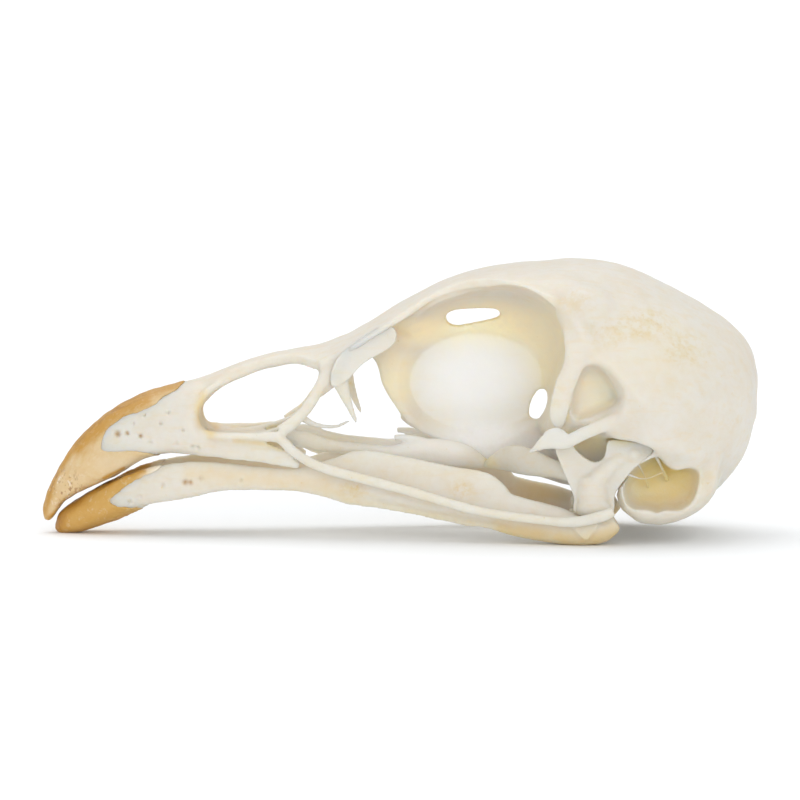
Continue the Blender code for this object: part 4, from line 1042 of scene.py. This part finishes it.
# Noises: size of their patches in millimetres, detail, roughness and stretch.
PATCHES = (3.2, 4, 0.6)
MOTTLE = (0.9, 4, 0.65)
FLECKS = (0.34, 3, 0.6)
FIBRES = (0.5, 4, 0.6, (0.14, 1, 1))
GRAIN = (0.16, 3, 0.6)
STREAKS = (0.45, 5, 0.7, (0.25, 1, 0.4))
FLAKES = (0.55, 5, 0.72)
SCRATCHES = (0.3, 4, 0.6, (1, 1, 0.6))

# Places of a finish, each with its spread, the stretch of x in which the lower sheath turns
# pale, and how light sinks into bone and horn: its share, and its reach in each colour.
# where painted light shines through the thin septum
SEPTUM_HEART = (6.2, 0, 12.4)
SEPTUM_SPREAD = (7.6, 2.5, 5.6)
TOMIUM = (-22.0, 0, 5.9)
TOMIUM_SPREAD = (3.4, 5, 1.7)
WORN_TIP = (-26.7, 0, 3.7)
WORN_SPREAD = (2.4, 5, 2.4)
FLAP = (-21.2, -19.4)
BONE_GLOW = (0.55, (2.4, 1.7, 1.1))
HORN_GLOW = (0.12, (1.5, 0.7, 0.25))


def surface(name, paint, glow):
    """A finish: paint gives its colour, roughness and normal."""
    made = bpy.data.materials.new(name)
    made.use_nodes = True
    tree = made.node_tree
    shader = tree.nodes["Principled BSDF"]
    for socket, wire in zip(("Base Color", "Roughness", "Normal"), paint(Wire(tree))):
        tree.links.new(wire.socket, shader.inputs[socket])
    shader.inputs["Subsurface Weight"].default_value = glow[0]
    shader.inputs["Subsurface Radius"].default_value = glow[1]
    shader.inputs["Subsurface Scale"].default_value = MM
    return made


def paint_bone(wire):
    """Dry, cleaned bone: ivory, with painted warm shade and bounce light in its hollows, partly staining,
    and painted light shining through it where it is thin.
    """
    hollow = wire.attribute("hollow")
    thin = 1 - wire.attribute("thick").step(0.5, 1.6)
    patches = wire.noise(*PATCHES)
    mottle = wire.noise(*MOTTLE)
    flecks = wire.noise(*FLECKS)
    fibres = wire.noise(*FIBRES)
    grain = wire.noise(*GRAIN)
    speckle = mottle.step(0.36, 0.7) * 0.45 + flecks.step(0.5, 0.66) * 0.35
    layers = [
        (fibres.step(0.48, 0.72) * 0.26, SAND),
        # painted warm shade and bounce light in hollows, partly staining; the deepest hollows are mottled
        # amber
        (hollow.step(0.25, 0.75) * (0.75 + 0.5 * mottle), STRAW),
        (hollow.step(0.62, 0.95) * mottle.step(0.4, 0.65) * 0.6, AMBER),
    ]
    for (x, y, z), radii, depth, tone in TINTS_AND_PAINTED_LIGHT:
        for side in sorted({y, -y}):
            layers.append((wire.near((x, side, z), radii) * (0.6 + 0.8 * mottle) * depth, tone))
    # straw lines; the first one on the jaw is painted shade under the edge of the upper jaw
    layers.append((wire.attribute("straw") * (0.4 + 0.9 * mottle), SAND))
    layers += [(wire.near(centre, radii) * speckle * depth, AMBER) for centre, radii, depth in STAINS]
    layers += [
        (flecks.step(0.7, 0.76) * 0.4, AMBER),
        # painted light shining through the thin septum
        (wire.near(SEPTUM_HEART, SEPTUM_SPREAD) * thin * 0.9, PAINTED_LIGHT_PEARL),
        (wire.attribute("pit") * 0.8, OCHRE),
    ]
    colour = (patches.step(0.35, 0.7) * 0.6 + mottle.step(0.4, 0.7) * 0.5).tint(IVORY, CREAM)
    return colour.over(layers), 0.42 + 0.16 * mottle, wire.bump(grain * 0.35 + mottle, 0.04)


def horn_grain(wire):
    """Streaks along the bill, flakes where the horn wears away, and where it is brown or darker."""
    streaks, flakes = wire.noise(*STREAKS), wire.noise(*FLAKES)
    dark = wire.attribute("dark")
    brown = (dark * (0.55 + 0.9 * streaks)).step(0.1, 0.8)
    return streaks, flakes, brown, dark * (0.3 + streaks)


def paint_upper_horn(wire):
    """The upper sheath: brown along the culmen, pale and flaking at its tip, thin at its edge."""
    streaks, flakes, brown, darker = horn_grain(wire)
    worn = wire.near(WORN_TIP, WORN_SPREAD)
    colour = (streaks.step(0.35, 0.75) * 0.4).tint(FLESH, GOLD).over((
        (wire.near(TOMIUM, TOMIUM_SPREAD) * 0.9, SKIN),
        (brown, BROWN),
        (darker.step(0.66, 1.0) * 0.6, EARTH),
        (flakes.step(0.54, 0.62) * (0.1 + worn * 0.65), CHALK),
        (worn * wire.noise(*SCRATCHES).step(0.54, 0.62) * 0.8, UMBER),
    ))
    return colour, 0.3 + 0.25 * flakes, wire.bump(streaks + flakes * 0.6, 0.06)


def paint_lower_horn(wire):
    """The lower sheath: golden, dark along its biting edge, with painted shade along its bottom edge and a
    pale flap at its rear.
    """
    streaks, flakes, brown, darker = horn_grain(wire)
    ahead = wire.node("ShaderNodeSeparateXYZ", {0: wire.place()}, output="X")
    colour = (streaks.step(0.35, 0.75) * 0.6).tint(GOLD, BROWN).over((
        (flakes.step(0.54, 0.64) * 0.4, SKIN),
        (ahead.step(*FLAP) * 0.9, CHALK),
        (brown, BROWN),
        (darker.step(0.42, 0.9) * 0.6, EARTH),
    ))
    return colour, 0.3 + 0.25 * flakes, wire.bump(streaks + flakes * 0.6, 0.05)


def finish(obj, name, material, nodes=(), marks=()):
    """Thins a bone's mesh, measures it for its finish and sets it in the frame, in metres."""
    thin_out(obj, name)
    mesh = obj.data
    # how sheltered each vertex is, which sets the painted shade in hollows
    store(mesh, "hollow", soften(mesh, shelter(mesh), 4))
    store(mesh, "thick", soften(mesh, thickness(mesh), 4))
    for label, lines in dict(marks).items():
        store(mesh, label, traced(mesh, lines))
    obj.name = name
    mesh.name = name
    mesh.transform(Matrix.Scale(MM, 4))
    mesh.materials.clear()
    mesh.materials.append(material)
    mesh.shade_smooth()
    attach(obj, "root")
    if nodes:
        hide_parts(*nodes)


# Stage

def make_stage():
    floor = block(*FLOOR)
    floor.name = "floor"
    floor.data.transform(Matrix.Scale(MM, 4))
    paper = bpy.data.materials.new("white_paper")
    paper.use_nodes = True
    matt = paper.node_tree.nodes["Principled BSDF"]
    matt.inputs["Base Color"].default_value = PAPER_WHITE
    matt.inputs["Roughness"].default_value = 1.0
    floor.data.materials.append(paper)
    world = bpy.data.worlds.new("light_tent")
    bpy.context.scene.world = world
    world.use_nodes = True
    tent = world.node_tree.nodes["Background"]
    tent.inputs["Color"].default_value = TENT_WHITE
    tent.inputs["Strength"].default_value = TENT_LIGHT
    for name, strength, spread, way in LAMPS:
        light = bpy.data.lights.new(name, "SUN")
        light.angle = math.radians(spread)
        light.energy = strength
        lamp = bpy.data.objects.new(name, light)
        bpy.context.scene.collection.objects.link(lamp)
        lamp.rotation_euler = Vector(way).to_track_quat("Z", "Y").to_euler()


def make_camera():
    azimuth = math.radians(VIEW_AZIMUTH)
    elevation = math.radians(VIEW_ELEVATION)
    raised = (TABLE_ROW - PHOTO_SIZE / 2) / PIXELS_PER_MM * MM / math.cos(elevation)
    back = Vector((
        math.sin(azimuth) * math.cos(elevation),
        -math.cos(azimuth) * math.cos(elevation),
        math.sin(elevation),
    ))
    lens = bpy.data.cameras.new("camera")
    lens.sensor_width = SENSOR_WIDTH
    lens.lens = lens.sensor_width * CAMERA_DISTANCE / (PHOTO_SIZE / PIXELS_PER_MM * MM)
    lens.clip_start, lens.clip_end = CAMERA_REACH
    camera = bpy.data.objects.new("camera", lens)
    bpy.context.scene.collection.objects.link(camera)
    camera.location = Vector((0, 0, raised)) + back * CAMERA_DISTANCE
    camera.rotation_euler = back.to_track_quat("Z", "Y").to_euler()
    bpy.context.scene.camera = camera
    bpy.context.scene.view_settings.view_transform = "Standard"


def main():
    bone = surface("bone", paint_bone, BONE_GLOW)
    upper_finish = surface("upper_horn", paint_upper_horn, HORN_GLOW)
    lower_finish = surface("lower_horn", paint_lower_horn, HORN_GLOW)

    skull = make_skull()
    upper_horn = part_horn(skull, UPPER_CORE, UPPER_PROUD, 3)
    relief(skull.data, SKULL_RELIEF)
    carve(skull.data, SKULL_RIDGES, BEAK_PITS, BEAK_PIT_DEPTH)
    skull_nodes = ("braincase", "frontal_roof", "orbital_septum", "upper_jaw", "jugal_left", "jugal_right")
    skull_marks = {"straw": SKULL_STRAW, "pit": dots(BEAK_PITS[:3])}
    finish(skull, "skull_bone", bone, skull_nodes, skull_marks)
    relief(upper_horn.data, UPPER_HORN_RELIEF)
    upper_marks = {"dark": CULMEN_DARK}
    finish(upper_horn, "upper_horn", upper_finish, ("upper_bill_sheath",), upper_marks)

    mandible = make_mandible()
    lower_horn = part_horn(mandible, LOWER_CORE, LOWER_PROUD, 5)
    relief(mandible.data, JAW_RELIEF)
    carve(mandible.data, JAW_RIDGES, JAW_PITS, JAW_PIT_DEPTH)
    jaw_marks = {"straw": JAW_STRAW, "pit": dots(JAW_PITS[:2])}
    finish(mandible, "jaw_bone", bone, ("mandible",), jaw_marks)
    relief(lower_horn.data, LOWER_HORN_RELIEF)
    lower_marks = {"dark": BITE_DARK}
    finish(lower_horn, "lower_horn", lower_finish, ("lower_bill_sheath",), lower_marks)

    for side, name in ((-1, "left"), (1, "right")):
        finish(make_threads(side), "ear_threads_" + name, bone)

    pairs = (
        ("quadrate", make_quadrate(), 8),
        ("lacrimal", make_lacrimal(), 8),
        ("palatine", make_bar(PALATINE, PALATINE_SPUR), 8),
        ("pterygoid", make_bar(PTERYGOID), 9),
    )
    for name, right, seed in pairs:
        relief(right.data, ((*SMALL_BONE_BUMPS, seed),))
        thin_out(right, name)
        left = copy_of(right, mirrored=True)
        finish(right, name + "_bone_right", bone, (name + "_right",))
        finish(left, name + "_bone_left", bone, (name + "_left",))

    make_stage()
    make_camera()


main()
